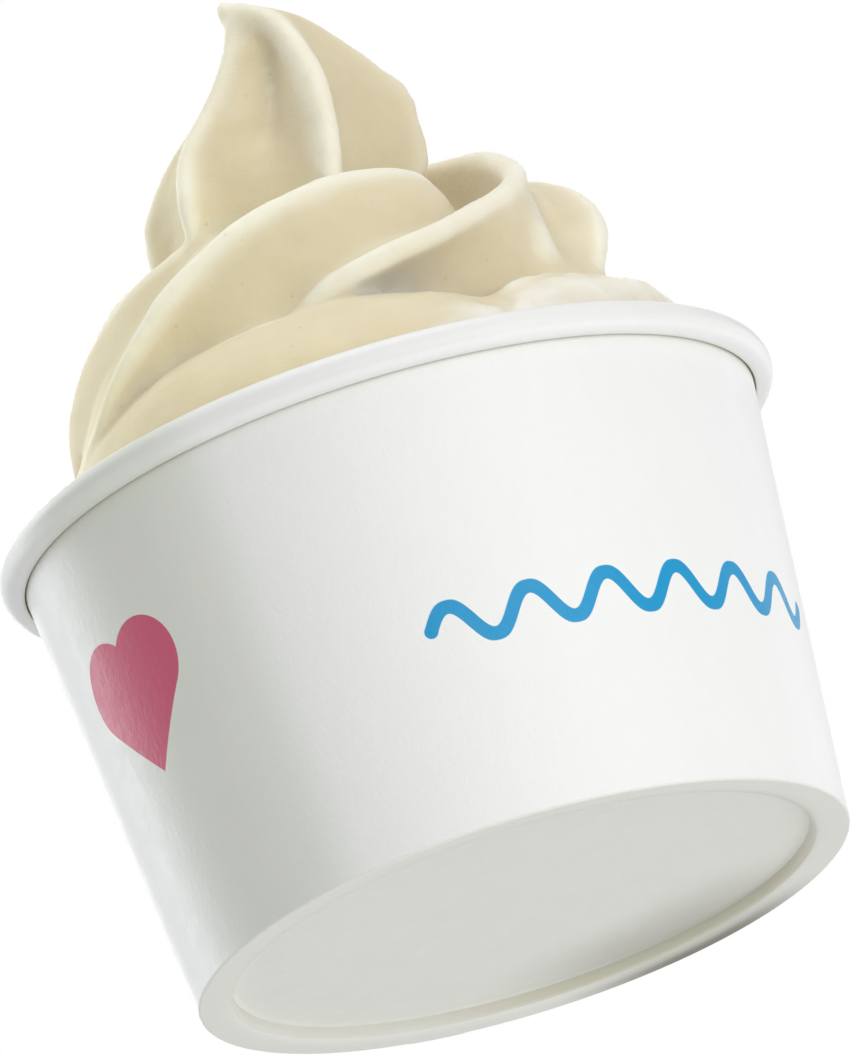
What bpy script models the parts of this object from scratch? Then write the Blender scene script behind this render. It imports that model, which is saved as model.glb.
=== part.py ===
"""A paper cup of soft-serve frozen yogurt.

Three pieces stand on z = 0, with the cup's axis on Z:
  cup_wall       tapered side wall with its rolled rim above and its folded seat ring below
  cup_base       flat disc set a little above the seat ring
  frozen_yogurt  the yogurt, from the disc up to the curled tip of the swirl

The swirl is what a star nozzle leaves: six ridges that climb round the heap and
stand up in the peak. Each fold is a loft of closed sections from one foot over a
rounded crest to the other foot. All lengths in the tables below are fractions of
the rim's outer radius R, and azimuths are degrees, counter-clockwise from +X.
"""

import math

import bmesh
import bpy
import numpy as np
from mathutils import Matrix

# ---------------------------------------------------------------- driving sizes (metres)
RIM_DIAMETER = 0.096
R = RIM_DIAMETER / 2
SEAT_RADIUS = 0.8391 * R        # outer radius at the table
WALL_TOP_RADIUS = 0.9428 * R    # outer radius where the wall meets the rolled rim
WALL_TOP = 1.1534 * R           # height of that seam
ROLL_HEIGHT = 1.1911 * R        # centre of the rolled rim
ROLL_RADIUS = 0.041 * R         # half the thickness of the roll
WALL = 0.00108                  # thickness of the wall, with its folded layers
SEAT_INNER = 0.0365             # inner radius of the flat seat ring
RECESS_RADIUS = 0.0358          # radius of the recess at the disc
RECESS_DEPTH = 0.0019           # height of the disc above the table
DISC = 0.0008                   # thickness of the disc
GAP = 0.0003                    # clearance between neighbouring pieces
FILL_AT_WALL = 1.165 * R        # yogurt level where it meets the wall
FILL_INSIDE = 1.19 * R          # yogurt level under the swirl
FILL_BREAK = 0.76 * R           # radius where the fill levels off

SEGMENTS = 72                   # facets round the cup
VOXEL = 0.0010                  # grid on which the folds are merged
SMOOTHING = 4
SWIRL_FACES = 5600              # triangles kept in the merged swirl

TAU = 2 * math.pi

# ---------------------------------------------------------------- the swirl's proportions
# Core under the folds, on an axis CORE_X beside the cup's: (radius, height), top to bottom.
CORE_X = -0.02
CORE = [(0.02, 2.25), (0.05, 2.20), (0.12, 2.10), (0.22, 2.00), (0.27, 1.90), (0.30, 1.79), (0.36, 1.73),
        (0.42, 1.67), (0.44, 1.60), (0.46, 1.50), (0.55, 1.42), (0.64, 1.30), (0.66, 1.15)]

# Lowest turn, a ring of round section: (azimuth, ring radius, section radius, height).
LOWEST_TURN = [(90, 0.50, 0.300, 1.170), (150, 0.50, 0.315, 1.195), (200, 0.50, 0.315, 1.195),
               (240, 0.50, 0.315, 1.193), (270, 0.50, 0.315, 1.184), (285, 0.50, 0.315, 1.165),
               (300, 0.50, 0.315, 1.130), (320, 0.50, 0.315, 1.080), (345, 0.50, 0.310, 1.040),
               (380, 0.50, 0.300, 1.060), (420, 0.50, 0.300, 1.120), (450, 0.50, 0.300, 1.170)]

# Folds. A row is one section: azimuth, crest height, crest radius; rise, inset and bulge of the flank
# above the crest; the same for the flank below it; and the radius that the section reaches in to.
LEDGE = [(285, 1.200, 0.720, 0.10, -0.20, 0.02, -0.22, 0.03, 0.02, 0.12), (295, 1.270, 0.740, 0.10, -0.20, 0.02, -0.22, 0.03, 0.02, 0.12),
         (306, 1.325, 0.765, 0.09, -0.22, 0.02, -0.22, 0.03, 0.02, 0.12), (320, 1.365, 0.785, 0.08, -0.22, 0.02, -0.22, 0.03, 0.02, 0.12),
         (340, 1.396, 0.798, 0.07, -0.22, 0.02, -0.22, 0.03, 0.02, 0.12), (360, 1.413, 0.796, 0.07, -0.22, 0.02, -0.22, 0.03, 0.02, 0.12),
         (380, 1.418, 0.791, 0.07, -0.22, 0.02, -0.22, 0.03, 0.02, 0.12), (405, 1.411, 0.788, 0.07, -0.22, 0.02, -0.22, 0.03, 0.02, 0.12),
         (430, 1.385, 0.785, 0.07, -0.22, 0.02, -0.22, 0.03, 0.02, 0.12), (455, 1.345, 0.780, 0.08, -0.22, 0.03, -0.22, 0.02, 0.02, 0.12),
         (480, 1.270, 0.775, 0.09, -0.22, 0.04, -0.22, 0.00, 0.02, 0.12), (505, 1.150, 0.760, 0.10, -0.22, 0.04, -0.22, 0.00, 0.02, 0.12)]
LEFT_FOLD = [(108, 1.000, 0.840, 0.35, -0.20, 0.02, -0.10, -0.20, 0.000, 0.12), (120, 1.160, 0.835, 0.38, -0.24, 0.03, -0.14, -0.10, 0.020, 0.12),
             (135, 1.360, 0.790, 0.36, -0.30, 0.03, -0.20, 0.00, 0.010, 0.12), (150, 1.530, 0.730, 0.30, -0.32, 0.03, -0.25, 0.06, 0.020, 0.12),
             (165, 1.655, 0.670, 0.22, -0.28, 0.03, -0.28, 0.09, 0.025, 0.12), (180, 1.745, 0.605, 0.14, -0.21, 0.02, -0.30, 0.13, 0.030, 0.12),
             (195, 1.795, 0.520, 0.07, -0.14, 0.01, -0.32, 0.17, 0.020, 0.12), (208, 1.830, 0.450, 0.03, -0.08, 0.00, -0.34, 0.20, 0.010, 0.12),
             (220, 1.855, 0.390, 0.00, -0.05, 0.00, -0.34, 0.20, 0.000, 0.12), (232, 1.860, 0.300, 0.00, -0.05, 0.00, -0.34, 0.20, 0.000, 0.12)]
FRONT_FOLD = [(188, 1.220, 0.770, 0.300, -0.10, 0.02, -0.10, -0.15, 0.00, 0.12), (200, 1.330, 0.770, 0.350, -0.20, 0.01, -0.10, -0.15, 0.00, 0.12),
              (209, 1.401, 0.757, 0.400, -0.30, 0.00, -0.10, -0.14, -0.01, 0.12), (215, 1.489, 0.727, 0.340, -0.33, 0.00, -0.14, -0.13, -0.02, 0.12),
              (223, 1.579, 0.686, 0.260, -0.32, 0.00, -0.20, -0.12, -0.02, 0.12), (231, 1.660, 0.636, 0.185, -0.27, 0.00, -0.25, -0.08, -0.02, 0.12),
              (239, 1.720, 0.586, 0.120, -0.24, 0.00, -0.28, -0.03, -0.01, 0.12), (248, 1.774, 0.536, 0.060, -0.19, 0.00, -0.30, 0.01, 0.00, 0.12),
              (258, 1.811, 0.497, 0.010, -0.15, 0.00, -0.30, 0.03, 0.005, 0.12), (270, 1.837, 0.463, -0.020, -0.13, 0.00, -0.30, 0.06, 0.01, 0.12),
              (283, 1.854, 0.440, -0.040, -0.12, 0.00, -0.28, 0.08, 0.015, 0.12), (298, 1.858, 0.425, -0.050, -0.11, 0.00, -0.26, 0.09, 0.02, 0.12),
              (310, 1.853, 0.415, -0.060, -0.10, 0.00, -0.24, 0.09, 0.02, 0.12), (316, 1.845, 0.415, -0.060, -0.09, 0.00, -0.24, 0.09, 0.02, 0.12),
              (320, 1.822, 0.412, -0.060, -0.09, 0.00, -0.20, 0.065, 0.02, 0.12), (325, 1.790, 0.392, -0.050, -0.08, 0.00, -0.20, 0.055, 0.02, 0.12),
              (331, 1.745, 0.355, -0.030, -0.07, 0.00, -0.20, 0.05, 0.02, 0.12), (339, 1.690, 0.300, -0.020, -0.06, 0.00, -0.20, 0.05, 0.02, 0.12)]
CURL = [(252, 1.425, 0.545, 0.04, -0.08, 0.00, -0.08, -0.10, 0.000, 0.40), (262, 1.478, 0.590, 0.06, -0.09, 0.00, -0.09, -0.13, 0.000, 0.40),
        (270, 1.508, 0.618, 0.07, -0.10, 0.00, -0.10, -0.17, -0.010, 0.40), (279, 1.536, 0.632, 0.07, -0.11, -0.01, -0.13, -0.19, -0.025, 0.40),
        (288, 1.562, 0.637, 0.07, -0.12, -0.01, -0.17, -0.19, -0.040, 0.40), (299, 1.594, 0.634, 0.05, -0.13, -0.01, -0.22, -0.16, -0.055, 0.40),
        (311, 1.648, 0.618, 0.02, -0.14, -0.02, -0.27, -0.09, -0.065, 0.40), (323, 1.708, 0.602, -0.07, -0.14, -0.02, -0.31, 0.01, -0.055, 0.40),
        (334, 1.767, 0.580, -0.15, -0.13, -0.02, -0.345, 0.12, -0.040, 0.40), (345, 1.817, 0.549, -0.21, -0.13, -0.02, -0.37, 0.15, -0.060, 0.40),
        (360, 1.890, 0.531, -0.25, -0.12, -0.01, -0.40, 0.15, -0.060, 0.38), (380, 1.990, 0.508, -0.27, -0.11, -0.01, -0.42, 0.06, -0.030, 0.36),
        (400, 2.045, 0.485, -0.24, -0.09, -0.01, -0.46, 0.02, -0.010, 0.34), (420, 2.094, 0.435, -0.17, -0.08, -0.01, -0.48, 0.06, 0.000, 0.28),
        (440, 2.129, 0.375, -0.10, -0.07, 0.00, -0.50, 0.12, 0.000, 0.20), (460, 2.151, 0.310, -0.06, -0.06, 0.00, -0.50, 0.16, 0.000, 0.14),
        (480, 2.157, 0.230, -0.04, -0.05, 0.00, -0.50, 0.20, 0.000, 0.10)]
RIGHT_FOLD = [(338, 1.330, 0.620, 0.05, -0.10, 0.00, -0.10, -0.10, 0.00, 0.50), (344, 1.420, 0.664, 0.06, -0.11, 0.00, -0.12, -0.08, 0.00, 0.50),
              (349, 1.510, 0.689, 0.07, -0.12, -0.01, -0.16, -0.10, 0.00, 0.50), (355, 1.600, 0.710, 0.07, -0.12, -0.01, -0.22, -0.12, -0.03, 0.50),
              (362, 1.685, 0.714, 0.07, -0.12, -0.02, -0.34, -0.10, -0.04, 0.51), (370, 1.772, 0.703, 0.06, -0.13, -0.02, -0.44, -0.06, -0.04, 0.52),
              (379, 1.849, 0.677, 0.05, -0.13, -0.02, -0.52, 0.00, -0.03, 0.52), (390, 1.917, 0.640, 0.03, -0.11, -0.02, -0.60, 0.02, -0.03, 0.50),
              (406, 1.950, 0.580, 0.00, -0.10, -0.02, -0.66, 0.06, -0.02, 0.46), (424, 1.960, 0.505, 0.00, -0.08, -0.01, -0.70, 0.12, -0.01, 0.41),
              (442, 1.965, 0.430, 0.00, -0.08, -0.01, -0.72, 0.18, 0.00, 0.34), (462, 1.960, 0.340, 0.00, -0.08, -0.01, -0.74, 0.26, 0.00, 0.24),
              (480, 1.950, 0.260, 0.00, -0.08, -0.01, -0.74, 0.32, 0.00, 0.14)]


def back_fold(azimuth, lower, fade):
    """The folds at the back follow one rule, turned to their azimuth, lowered, and fading towards their end."""
    rule = [(-30, 1.280, 0.690, 0.05, -0.12, 0.00), (-20, 1.400, 0.715, 0.06, -0.14, 0.00), (-10, 1.510, 0.725, 0.08, -0.18, -0.01),
            (0, 1.620, 0.722, 0.08, -0.22, -0.02), (10, 1.720, 0.710, 0.08, -0.26, -0.02), (22, 1.820, 0.680, 0.06, -0.28, -0.02),
            (36, 1.895, 0.635, 0.03, -0.28, -0.02), (52, 1.935, 0.570, 0.02, -0.26, -0.02), (70, 1.950, 0.485, 0.00, -0.22, -0.01),
            (88, 1.955, 0.400, 0.00, -0.20, -0.01), (108, 1.955, 0.310, 0.00, -0.16, 0.00)]
    rows = []
    for turn, z, r, rise, inset, bulge in rule:
        z -= lower + fade * max(0, turn - 10) / 98
        along = max(0, min(1, (turn + 10) / 62))
        hollow = -0.035 * min(1, max(0, (turn + 30) / 40))
        rows.append((azimuth + turn, z, r, rise, inset, bulge, 1.22 - z, (0.665 - r) * (1 - 0.35 * along) - 0.02, hollow, 0.12))
    return rows


# name: (rows, radius of the rounded crest)
FOLDS = {
    "ledge": (LEDGE, 0.045),
    "left_fold": (LEFT_FOLD, 0.045),
    "front_fold": (FRONT_FOLD, 0.033),
    "curl": (CURL, 0.038),
    "right_fold": (RIGHT_FOLD, 0.045),
    "back_fold_1": (back_fold(52, 0.02, 0.0), 0.042),
    "back_fold_2": (back_fold(106, 0.05, 0.10), 0.042),
}

# The peak, on an axis PEAK_X beside the cup's, has six ridges that run in to the tip.
# Ridges counter-clockwise from the right: crest (azimuth, height, radius).
PEAK_X = -0.005
PEAK_RIDGES = [
    [(350, 1.750, 0.250), (352, 1.850, 0.275), (353, 1.915, 0.335), (355, 1.970, 0.354), (356, 2.050, 0.356), (358, 2.120, 0.355), (360, 2.170, 0.342),
     (361, 2.220, 0.306), (362, 2.280, 0.267), (364, 2.350, 0.215), (366, 2.420, 0.155), (366, 2.460, 0.095), (366, 2.490, 0.030)],
    [(60, 1.750, 0.400), (62, 1.880, 0.400), (64, 2.000, 0.390), (66, 2.100, 0.350), (68, 2.200, 0.280), (70, 2.300, 0.200),
     (72, 2.400, 0.110), (74, 2.470, 0.040)],
    [(116, 1.750, 0.400), (117, 1.880, 0.400), (118, 2.000, 0.385), (119, 2.100, 0.340), (120, 2.200, 0.250), (122, 2.300, 0.170),
     (124, 2.400, 0.090), (126, 2.470, 0.030)],
    [(174, 1.750, 0.405), (174, 1.910, 0.402), (174, 2.010, 0.390), (174, 2.065, 0.359), (174, 2.120, 0.315), (174, 2.170, 0.265),
     (174, 2.210, 0.214), (174, 2.260, 0.153), (174, 2.310, 0.098), (176, 2.360, 0.063), (178, 2.420, 0.044), (180, 2.460, 0.038)],
    [(222, 1.750, 0.385), (222, 1.848, 0.385), (223, 1.964, 0.380), (221, 2.072, 0.330), (222, 2.144, 0.280), (225, 2.258, 0.171),
     (236, 2.366, 0.100), (240, 2.440, 0.060), (240, 2.490, 0.030)],
    [(284, 1.750, 0.385), (287, 1.878, 0.385), (291, 1.989, 0.380), (295.7, 2.109, 0.345), (301.5, 2.237, 0.275), (306.5, 2.345, 0.200),
     (306, 2.420, 0.140), (292, 2.465, 0.080), (280, 2.495, 0.030)],
]
# The face after each ridge: (height, depth as a fraction of its width, flatness of its floor, how far the floor leans to the first ridge).
PEAK_FACES = [
    [(1.75, 0.14, 2.5, 1.0), (2.20, 0.14, 2.5, 1.0), (2.50, 0.05, 2.0, 1.0)],
    [(1.75, 0.14, 2.5, 1.0), (2.20, 0.14, 2.5, 1.0), (2.50, 0.05, 2.0, 1.0)],
    [(1.75, 0.14, 2.5, 1.0), (2.20, 0.14, 2.5, 1.0), (2.50, 0.05, 2.0, 1.0)],
    [(1.75, 0.13, 3.0, 1.3), (2.00, 0.13, 3.0, 1.3), (2.20, 0.10, 3.0, 1.2), (2.50, 0.05, 2.0, 1.0)],
    [(1.75, 0.13, 3.0, 0.85), (1.87, 0.13, 3.0, 0.85), (1.95, 0.11, 3.0, 0.9), (2.10, 0.09, 3.0, 1.0), (2.30, 0.08, 2.5, 1.0),
     (2.50, 0.02, 2.0, 1.0)],
    [(1.75, 0.11, 3.5, 0.75), (2.00, 0.12, 3.5, 0.75), (2.12, 0.15, 3.5, 0.75), (2.20, 0.135, 3.5, 0.75), (2.30, 0.11, 3.0, 0.8),
     (2.50, 0.03, 2.0, 1.0)],
]
PEAK_CREST = [(1.75, 0.032), (2.20, 0.030), (2.40, 0.024), (2.50, 0.012)]    # height, radius of the rounded ridges
# A groove down the front face: place across the face, half-width, and (height, depth).
GROOVE_FACE, GROOVE_AT, GROOVE_WIDTH = 4, 0.555, 0.125
GROOVE = [(1.88, 0.000), (1.96, 0.006), (2.03, 0.022), (2.10, 0.056), (2.18, 0.070), (2.28, 0.058), (2.38, 0.014), (2.42, 0.000)]
PEAK_FOOT, PEAK_TOP = 1.75, 2.49

# Curled tip: (x, height, radius).
TIP = [(0.030, 2.360, 0.072), (0.020, 2.410, 0.063), (0.000, 2.445, 0.046), (-0.018, 2.476, 0.037), (-0.029, 2.498, 0.028),
       (-0.034, 2.514, 0.015)]


# ---------------------------------------------------------------- helpers
def clear_scene():
    for obj in list(bpy.data.objects):
        bpy.data.objects.remove(obj)


def smooth_rows(rows, count):
    """A Catmull-Rom curve through the rows, at `count` even steps."""
    k = np.asarray(rows, float)
    last = len(k) - 1
    x = np.linspace(0, last, count)
    i = np.minimum(x.astype(int), last - 1)
    f = (x - i)[:, None]
    before = np.where((i == 0)[:, None], 2 * k[0] - k[1], k[np.maximum(i - 1, 0)])
    after = np.where((i + 2 > last)[:, None], 2 * k[last] - k[last - 1], k[np.minimum(i + 2, last)])
    a, b = k[i], k[i + 1]
    return 0.5 * (2 * a + (b - before) * f + (2 * before - 5 * a + 4 * b - after) * f**2
                  + (3 * a - before - 3 * b + after) * f**3)


def unit(v):
    return v / (np.linalg.norm(v, axis=-1, keepdims=True) + 1e-12)


def loft(rings):
    """A closed mesh through closed rings of equal count, with a fan at each end."""
    rings = np.asarray(rings, float)
    n, m, _ = rings.shape
    points = np.concatenate([rings.reshape(-1, 3), [rings[0].mean(0), rings[-1].mean(0)]])
    faces = []
    for i in range(n - 1):
        for j in range(m):
            a, b = i * m + j, i * m + (j + 1) % m
            faces.append((a, b, b + m, a + m))
    for j in range(m):
        faces.append((n * m, (j + 1) % m, j))
        faces.append((n * m + 1, (n - 1) * m + j, (n - 1) * m + (j + 1) % m))
    mesh = bmesh.new()
    verts = [mesh.verts.new(p) for p in points]
    for face in faces:
        mesh.faces.new([verts[k] for k in face])
    bmesh.ops.recalc_face_normals(mesh, faces=mesh.faces)
    return mesh


def turned(profile, segments, axis_x=0.0, ring=False):
    """A turned mesh. With ring, the profile (radius, height) is a closed loop; else it runs from axis to axis."""
    mesh = bmesh.new()
    loops = []
    for r, z in profile:
        loops.append([mesh.verts.new((axis_x + r * math.cos(TAU * j / segments), r * math.sin(TAU * j / segments), z))
                      for j in range(segments)])
    count = len(loops)
    for i in range(count if ring else count - 1):
        a, b = loops[i], loops[(i + 1) % count]
        for j in range(segments):
            k = (j + 1) % segments
            mesh.faces.new((a[j], a[k], b[k], b[j]))
    if not ring:
        for loop, z in ((loops[0], profile[0][1]), (loops[-1], profile[-1][1])):
            centre = mesh.verts.new((axis_x, 0, z))
            for j in range(segments):
                mesh.faces.new((centre, loop[j], loop[(j + 1) % segments]))
    bmesh.ops.recalc_face_normals(mesh, faces=mesh.faces)
    return mesh


def fold(rows, crest_radius, sections=96, flank_points=14, arc_points=10):
    """A fold of the swirl. Each section runs foot - flank - arc over the crest - flank - foot, and back inside."""
    table = smooth_rows(rows, sections)
    rings = []
    for azimuth, z, r, up_z, up_r, up_bulge, down_z, down_r, down_bulge, inner in table:
        crest = np.array([r, z])
        upper, lower = crest + [up_r, up_z], crest + [down_r, down_z]
        span = lower - upper
        outward = unit(-(unit(upper - crest) + unit(lower - crest)) + 0.25 * unit(np.array([-span[1], span[0]])))
        centre = crest - crest_radius * outward

        def touch(foot, side):
            v = foot - centre
            return math.atan2(v[1], v[0]) - side * math.acos(min(1, crest_radius / np.hypot(*v)))

        middle = math.atan2(outward[1], outward[0])
        first, last = touch(upper, 1), touch(lower, -1)
        while first < middle:
            first += TAU
        while first > middle + math.pi:
            first -= TAU
        while last > middle:
            last -= TAU
        while last < middle - math.pi:
            last += TAU
        half = arc_points // 2 + 1
        angles = np.concatenate([np.linspace(first, middle, half), np.linspace(middle, last, half)[1:]])
        arc = centre + crest_radius * np.stack([np.cos(angles), np.sin(angles)], -1)
        k = np.linspace(0, 1, flank_points + 1)[:, None]

        def flank(start, end, bulge):
            side = unit(np.array([start[1] - end[1], end[0] - start[0]]))
            return start + (end - start) * k + side * bulge * 4 * k * (1 - k)

        section = np.concatenate([flank(upper, arc[0], up_bulge)[:-1], arc, flank(arc[-1], lower, down_bulge)[1:],
                                  [[inner, lower[1]], [inner, upper[1]]]])
        t = math.radians(azimuth)
        rings.append([(x * math.cos(t), x * math.sin(t), y) for x, y in section])
    return loft(rings)


def peak(levels=60, face_points=40, arc_points=8):
    """The peak: level sections, each a star of rounded ridges joined by hollow faces."""
    ridges = [smooth_rows(rows, 300) for rows in PEAK_RIDGES]
    crest = np.array(PEAK_CREST)
    groove = np.array(GROOVE)
    s = 0.5 - 0.5 * np.cos(np.linspace(0, math.pi, face_points + 1))
    rings = []
    for z in np.linspace(PEAK_FOOT, PEAK_TOP, levels):
        rounding = np.interp(z, crest[:, 0], crest[:, 1])
        corners = []
        for ridge in ridges:
            t = math.radians(np.interp(z, ridge[:, 1], ridge[:, 0]))
            r = max(0.002, np.interp(z, ridge[:, 1], ridge[:, 2]) - rounding)
            corners.append(np.array([PEAK_X + r * math.cos(t), r * math.sin(t)]))
        faces = []
        for k, corner in enumerate(corners):
            chord = corners[(k + 1) % len(corners)] - corner
            width = np.hypot(*chord)
            inward = np.array([-chord[1], chord[0]]) / (width + 1e-9)
            rows = np.array(PEAK_FACES[k])
            depth, flatness, lean = (np.interp(z, rows[:, 0], rows[:, c]) for c in (1, 2, 3))
            hollow = depth * width * (1 - np.abs(2 * s**lean - 1) ** flatness)
            if k == GROOVE_FACE:
                hollow = hollow + np.interp(z, groove[:, 0], groove[:, 1]) * np.exp(-0.5 * ((s - GROOVE_AT) / GROOVE_WIDTH) ** 2)
            line = corner + chord * s[:, None] + inward * hollow[:, None]
            along = unit(np.gradient(line, axis=0))
            outward = np.stack([along[:, 1], -along[:, 0]], -1)
            faces.append((line + rounding * outward, outward))
        section = []
        for k, corner in enumerate(corners):
            before, after = faces[k - 1][1][-1], faces[k][1][0]
            start, end = math.atan2(before[1], before[0]), math.atan2(after[1], after[0])
            while end < start - 0.2:
                end += TAU
            t = np.linspace(start, end, arc_points + 1)[:-1]
            section.append(corner + rounding * np.stack([np.cos(t), np.sin(t)], -1))
            section.append(faces[k][0][:-1])
        section = np.concatenate(section)
        rings.append(np.column_stack([section, np.full(len(section), z)]))
    return loft(rings)


def tube_of_circles(circles, count=14, sides=16):
    table = smooth_rows(circles, count)
    return loft([[(x + r * math.cos(TAU * j / sides), r * math.sin(TAU * j / sides), z) for j in range(sides)]
                 for x, z, r in table])


def lowest_turn(rows, sections=121, sides=32):
    rings = []
    for azimuth, ring_radius, radius, z in smooth_rows(rows, sections):
        t = math.radians(azimuth)
        rings.append([((ring_radius + radius * math.cos(TAU * j / sides)) * math.cos(t),
                       (ring_radius + radius * math.cos(TAU * j / sides)) * math.sin(t),
                       z + radius * math.sin(TAU * j / sides)) for j in range(sides)])
    return loft(rings)


def new_object(name, mesh, material, scale=1.0):
    data = bpy.data.meshes.new(name)
    mesh.to_mesh(data)
    mesh.free()
    if scale != 1.0:
        data.transform(Matrix.Scale(scale, 4))
    obj = bpy.data.objects.new(name, data)
    bpy.context.scene.collection.objects.link(obj)
    data.materials.append(material)
    data.shade_smooth()
    data.set_sharp_from_angle(angle=math.radians(35))
    return obj


def material(name, colour, roughness):
    made = bpy.data.materials.new(name)
    made.use_nodes = True
    shader = made.node_tree.nodes["Principled BSDF"]
    shader.inputs["Base Color"].default_value = (*colour, 1)
    shader.inputs["Roughness"].default_value = roughness
    shader.inputs["Metallic"].default_value = 0
    return made


def evaluated_copy(obj, name):
    """A plain mesh of what the object's modifiers make."""
    bpy.context.view_layer.update()
    graph = bpy.context.evaluated_depsgraph_get()
    data = bpy.data.meshes.new_from_object(obj.evaluated_get(graph))
    data.name = name
    return data


# ---------------------------------------------------------------- the cup
def outer_radius(z):
    return SEAT_RADIUS + (WALL_TOP_RADIUS - SEAT_RADIUS) * z / WALL_TOP


def inner_radius(z):
    return outer_radius(z) - WALL


def wall_profile():
    """Closed loop: seat ring, outer wall, rolled rim, inner wall, ledge beside the disc."""
    roll_r = R - ROLL_RADIUS
    corner = 0.0005
    loop = [(SEAT_INNER, 0.0), (SEAT_RADIUS - corner, 0.0), (SEAT_RADIUS - 0.3 * corner, 0.3 * corner),
            (outer_radius(corner), corner), (WALL_TOP_RADIUS, WALL_TOP)]
    start = math.atan2(WALL_TOP - ROLL_HEIGHT, WALL_TOP_RADIUS - roll_r) % TAU
    steps = 11
    for k in range(1, steps + 1):
        a = start + (3 * math.pi - start) * k / steps
        loop.append((roll_r + ROLL_RADIUS * math.cos(a), ROLL_HEIGHT + ROLL_RADIUS * math.sin(a)))
    loop.append((inner_radius(WALL_TOP - 0.0012), WALL_TOP - 0.0012))
    shelf = RECESS_DEPTH + DISC + 0.0001
    loop += [(inner_radius(shelf), shelf), (RECESS_RADIUS, shelf), (RECESS_RADIUS, RECESS_DEPTH - 0.0004)]
    return loop


def cup_wall(paper):
    return new_object("cup_wall", turned(wall_profile(), SEGMENTS, ring=True), paper)


def cup_base(paper):
    edge = RECESS_RADIUS - GAP
    profile = [(edge, RECESS_DEPTH), (edge, RECESS_DEPTH + DISC)]
    return new_object("cup_base", turned(profile, SEGMENTS), paper)


# ---------------------------------------------------------------- the yogurt
def swirl_mesh():
    """All folds in one mesh, still overlapping, in metres."""
    shapes = [turned(CORE, 64, CORE_X), lowest_turn(LOWEST_TURN), peak(), tube_of_circles(TIP)]
    shapes += [fold(rows, crest) for rows, crest in FOLDS.values()]
    joined = bmesh.new()
    for shape in shapes:
        piece = bpy.data.meshes.new("piece")
        shape.to_mesh(piece)
        shape.free()
        joined.from_mesh(piece)
        bpy.data.meshes.remove(piece)
    return joined


def frozen_yogurt(cream):
    swirl = new_object("swirl", swirl_mesh(), cream, R)
    merge = swirl.modifiers.new("merge", "REMESH")
    merge.mode = "VOXEL"
    merge.voxel_size = VOXEL
    soften = swirl.modifiers.new("soften", "SMOOTH")
    soften.factor = 0.5
    soften.iterations = SMOOTHING
    merged = evaluated_copy(swirl, "swirl_merged")
    bpy.data.objects.remove(swirl)
    swirl = bpy.data.objects.new("swirl", merged)
    bpy.context.scene.collection.objects.link(swirl)
    triangles = sum(len(p.vertices) - 2 for p in merged.polygons)
    thin = swirl.modifiers.new("thin", "DECIMATE")
    thin.ratio = SWIRL_FACES / triangles
    thinned = evaluated_copy(swirl, "swirl_thinned")
    bpy.data.objects.remove(swirl)

    floor = RECESS_DEPTH + DISC + GAP + 0.0001
    profile = [(inner_radius(floor) - GAP, floor), (inner_radius(FILL_AT_WALL) - GAP, FILL_AT_WALL),
               (FILL_BREAK, FILL_INSIDE)]
    body = new_object("frozen_yogurt", turned(profile, SEGMENTS), cream)
    cutter = bpy.data.objects.new("swirl", thinned)
    bpy.context.scene.collection.objects.link(cutter)
    join = body.modifiers.new("join", "BOOLEAN")
    join.operation = "UNION"
    join.object = cutter
    whole = evaluated_copy(body, "frozen_yogurt")
    body.modifiers.clear()
    body.data = whole
    bpy.data.objects.remove(cutter)
    whole.materials.clear()
    whole.materials.append(cream)
    whole.shade_smooth()
    return body


def main():
    clear_scene()
    bpy.context.scene.unit_settings.scale_length = 1.0
    paper = material("white_paperboard", (0.86, 0.87, 0.86), 0.42)
    inner_paper = material("base_paperboard", (0.80, 0.81, 0.78), 0.5)
    cream = material("vanilla_frozen_yogurt", (0.78, 0.69, 0.47), 0.55)
    cup_wall(paper)
    cup_base(inner_paper)
    frozen_yogurt(cream)


main()
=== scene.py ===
"""Looks for the cup of soft-serve frozen yogurt: finer shapes, materials, floor, lights and camera.

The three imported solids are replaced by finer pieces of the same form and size:
  yogurt_swirl     the swirl and what fills the cup, with a finer, slightly uneven surface
  paper_cup_wall   the wrapped wall with its overlap seam, curled rim and folded seat ring, and its print
  paper_cup_base   the pressed base disc
Lengths in the swirl's tables are fractions of the rim's outer radius R; azimuths are in degrees,
counter-clockwise from +X, and the front is -Y.
"""

import math

import bmesh
import bpy
import numpy as np
from mathutils import Matrix, Vector, noise
from mathutils.bvhtree import BVHTree
from mathutils.kdtree import KDTree

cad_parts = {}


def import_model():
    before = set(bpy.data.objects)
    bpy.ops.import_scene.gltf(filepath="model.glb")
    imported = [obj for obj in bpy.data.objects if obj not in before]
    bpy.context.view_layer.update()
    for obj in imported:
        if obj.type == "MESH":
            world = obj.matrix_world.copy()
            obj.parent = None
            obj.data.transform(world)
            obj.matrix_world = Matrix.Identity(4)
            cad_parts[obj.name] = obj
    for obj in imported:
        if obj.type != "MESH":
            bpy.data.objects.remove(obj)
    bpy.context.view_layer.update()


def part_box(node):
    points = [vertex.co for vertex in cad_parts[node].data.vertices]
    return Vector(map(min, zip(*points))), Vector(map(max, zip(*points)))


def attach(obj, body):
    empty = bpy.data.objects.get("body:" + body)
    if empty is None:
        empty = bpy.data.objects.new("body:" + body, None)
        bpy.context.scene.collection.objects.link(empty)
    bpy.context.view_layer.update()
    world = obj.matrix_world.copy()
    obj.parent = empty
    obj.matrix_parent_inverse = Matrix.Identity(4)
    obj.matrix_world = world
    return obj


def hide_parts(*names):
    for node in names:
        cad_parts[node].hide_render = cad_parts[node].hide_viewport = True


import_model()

TAU = 2 * math.pi

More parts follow.
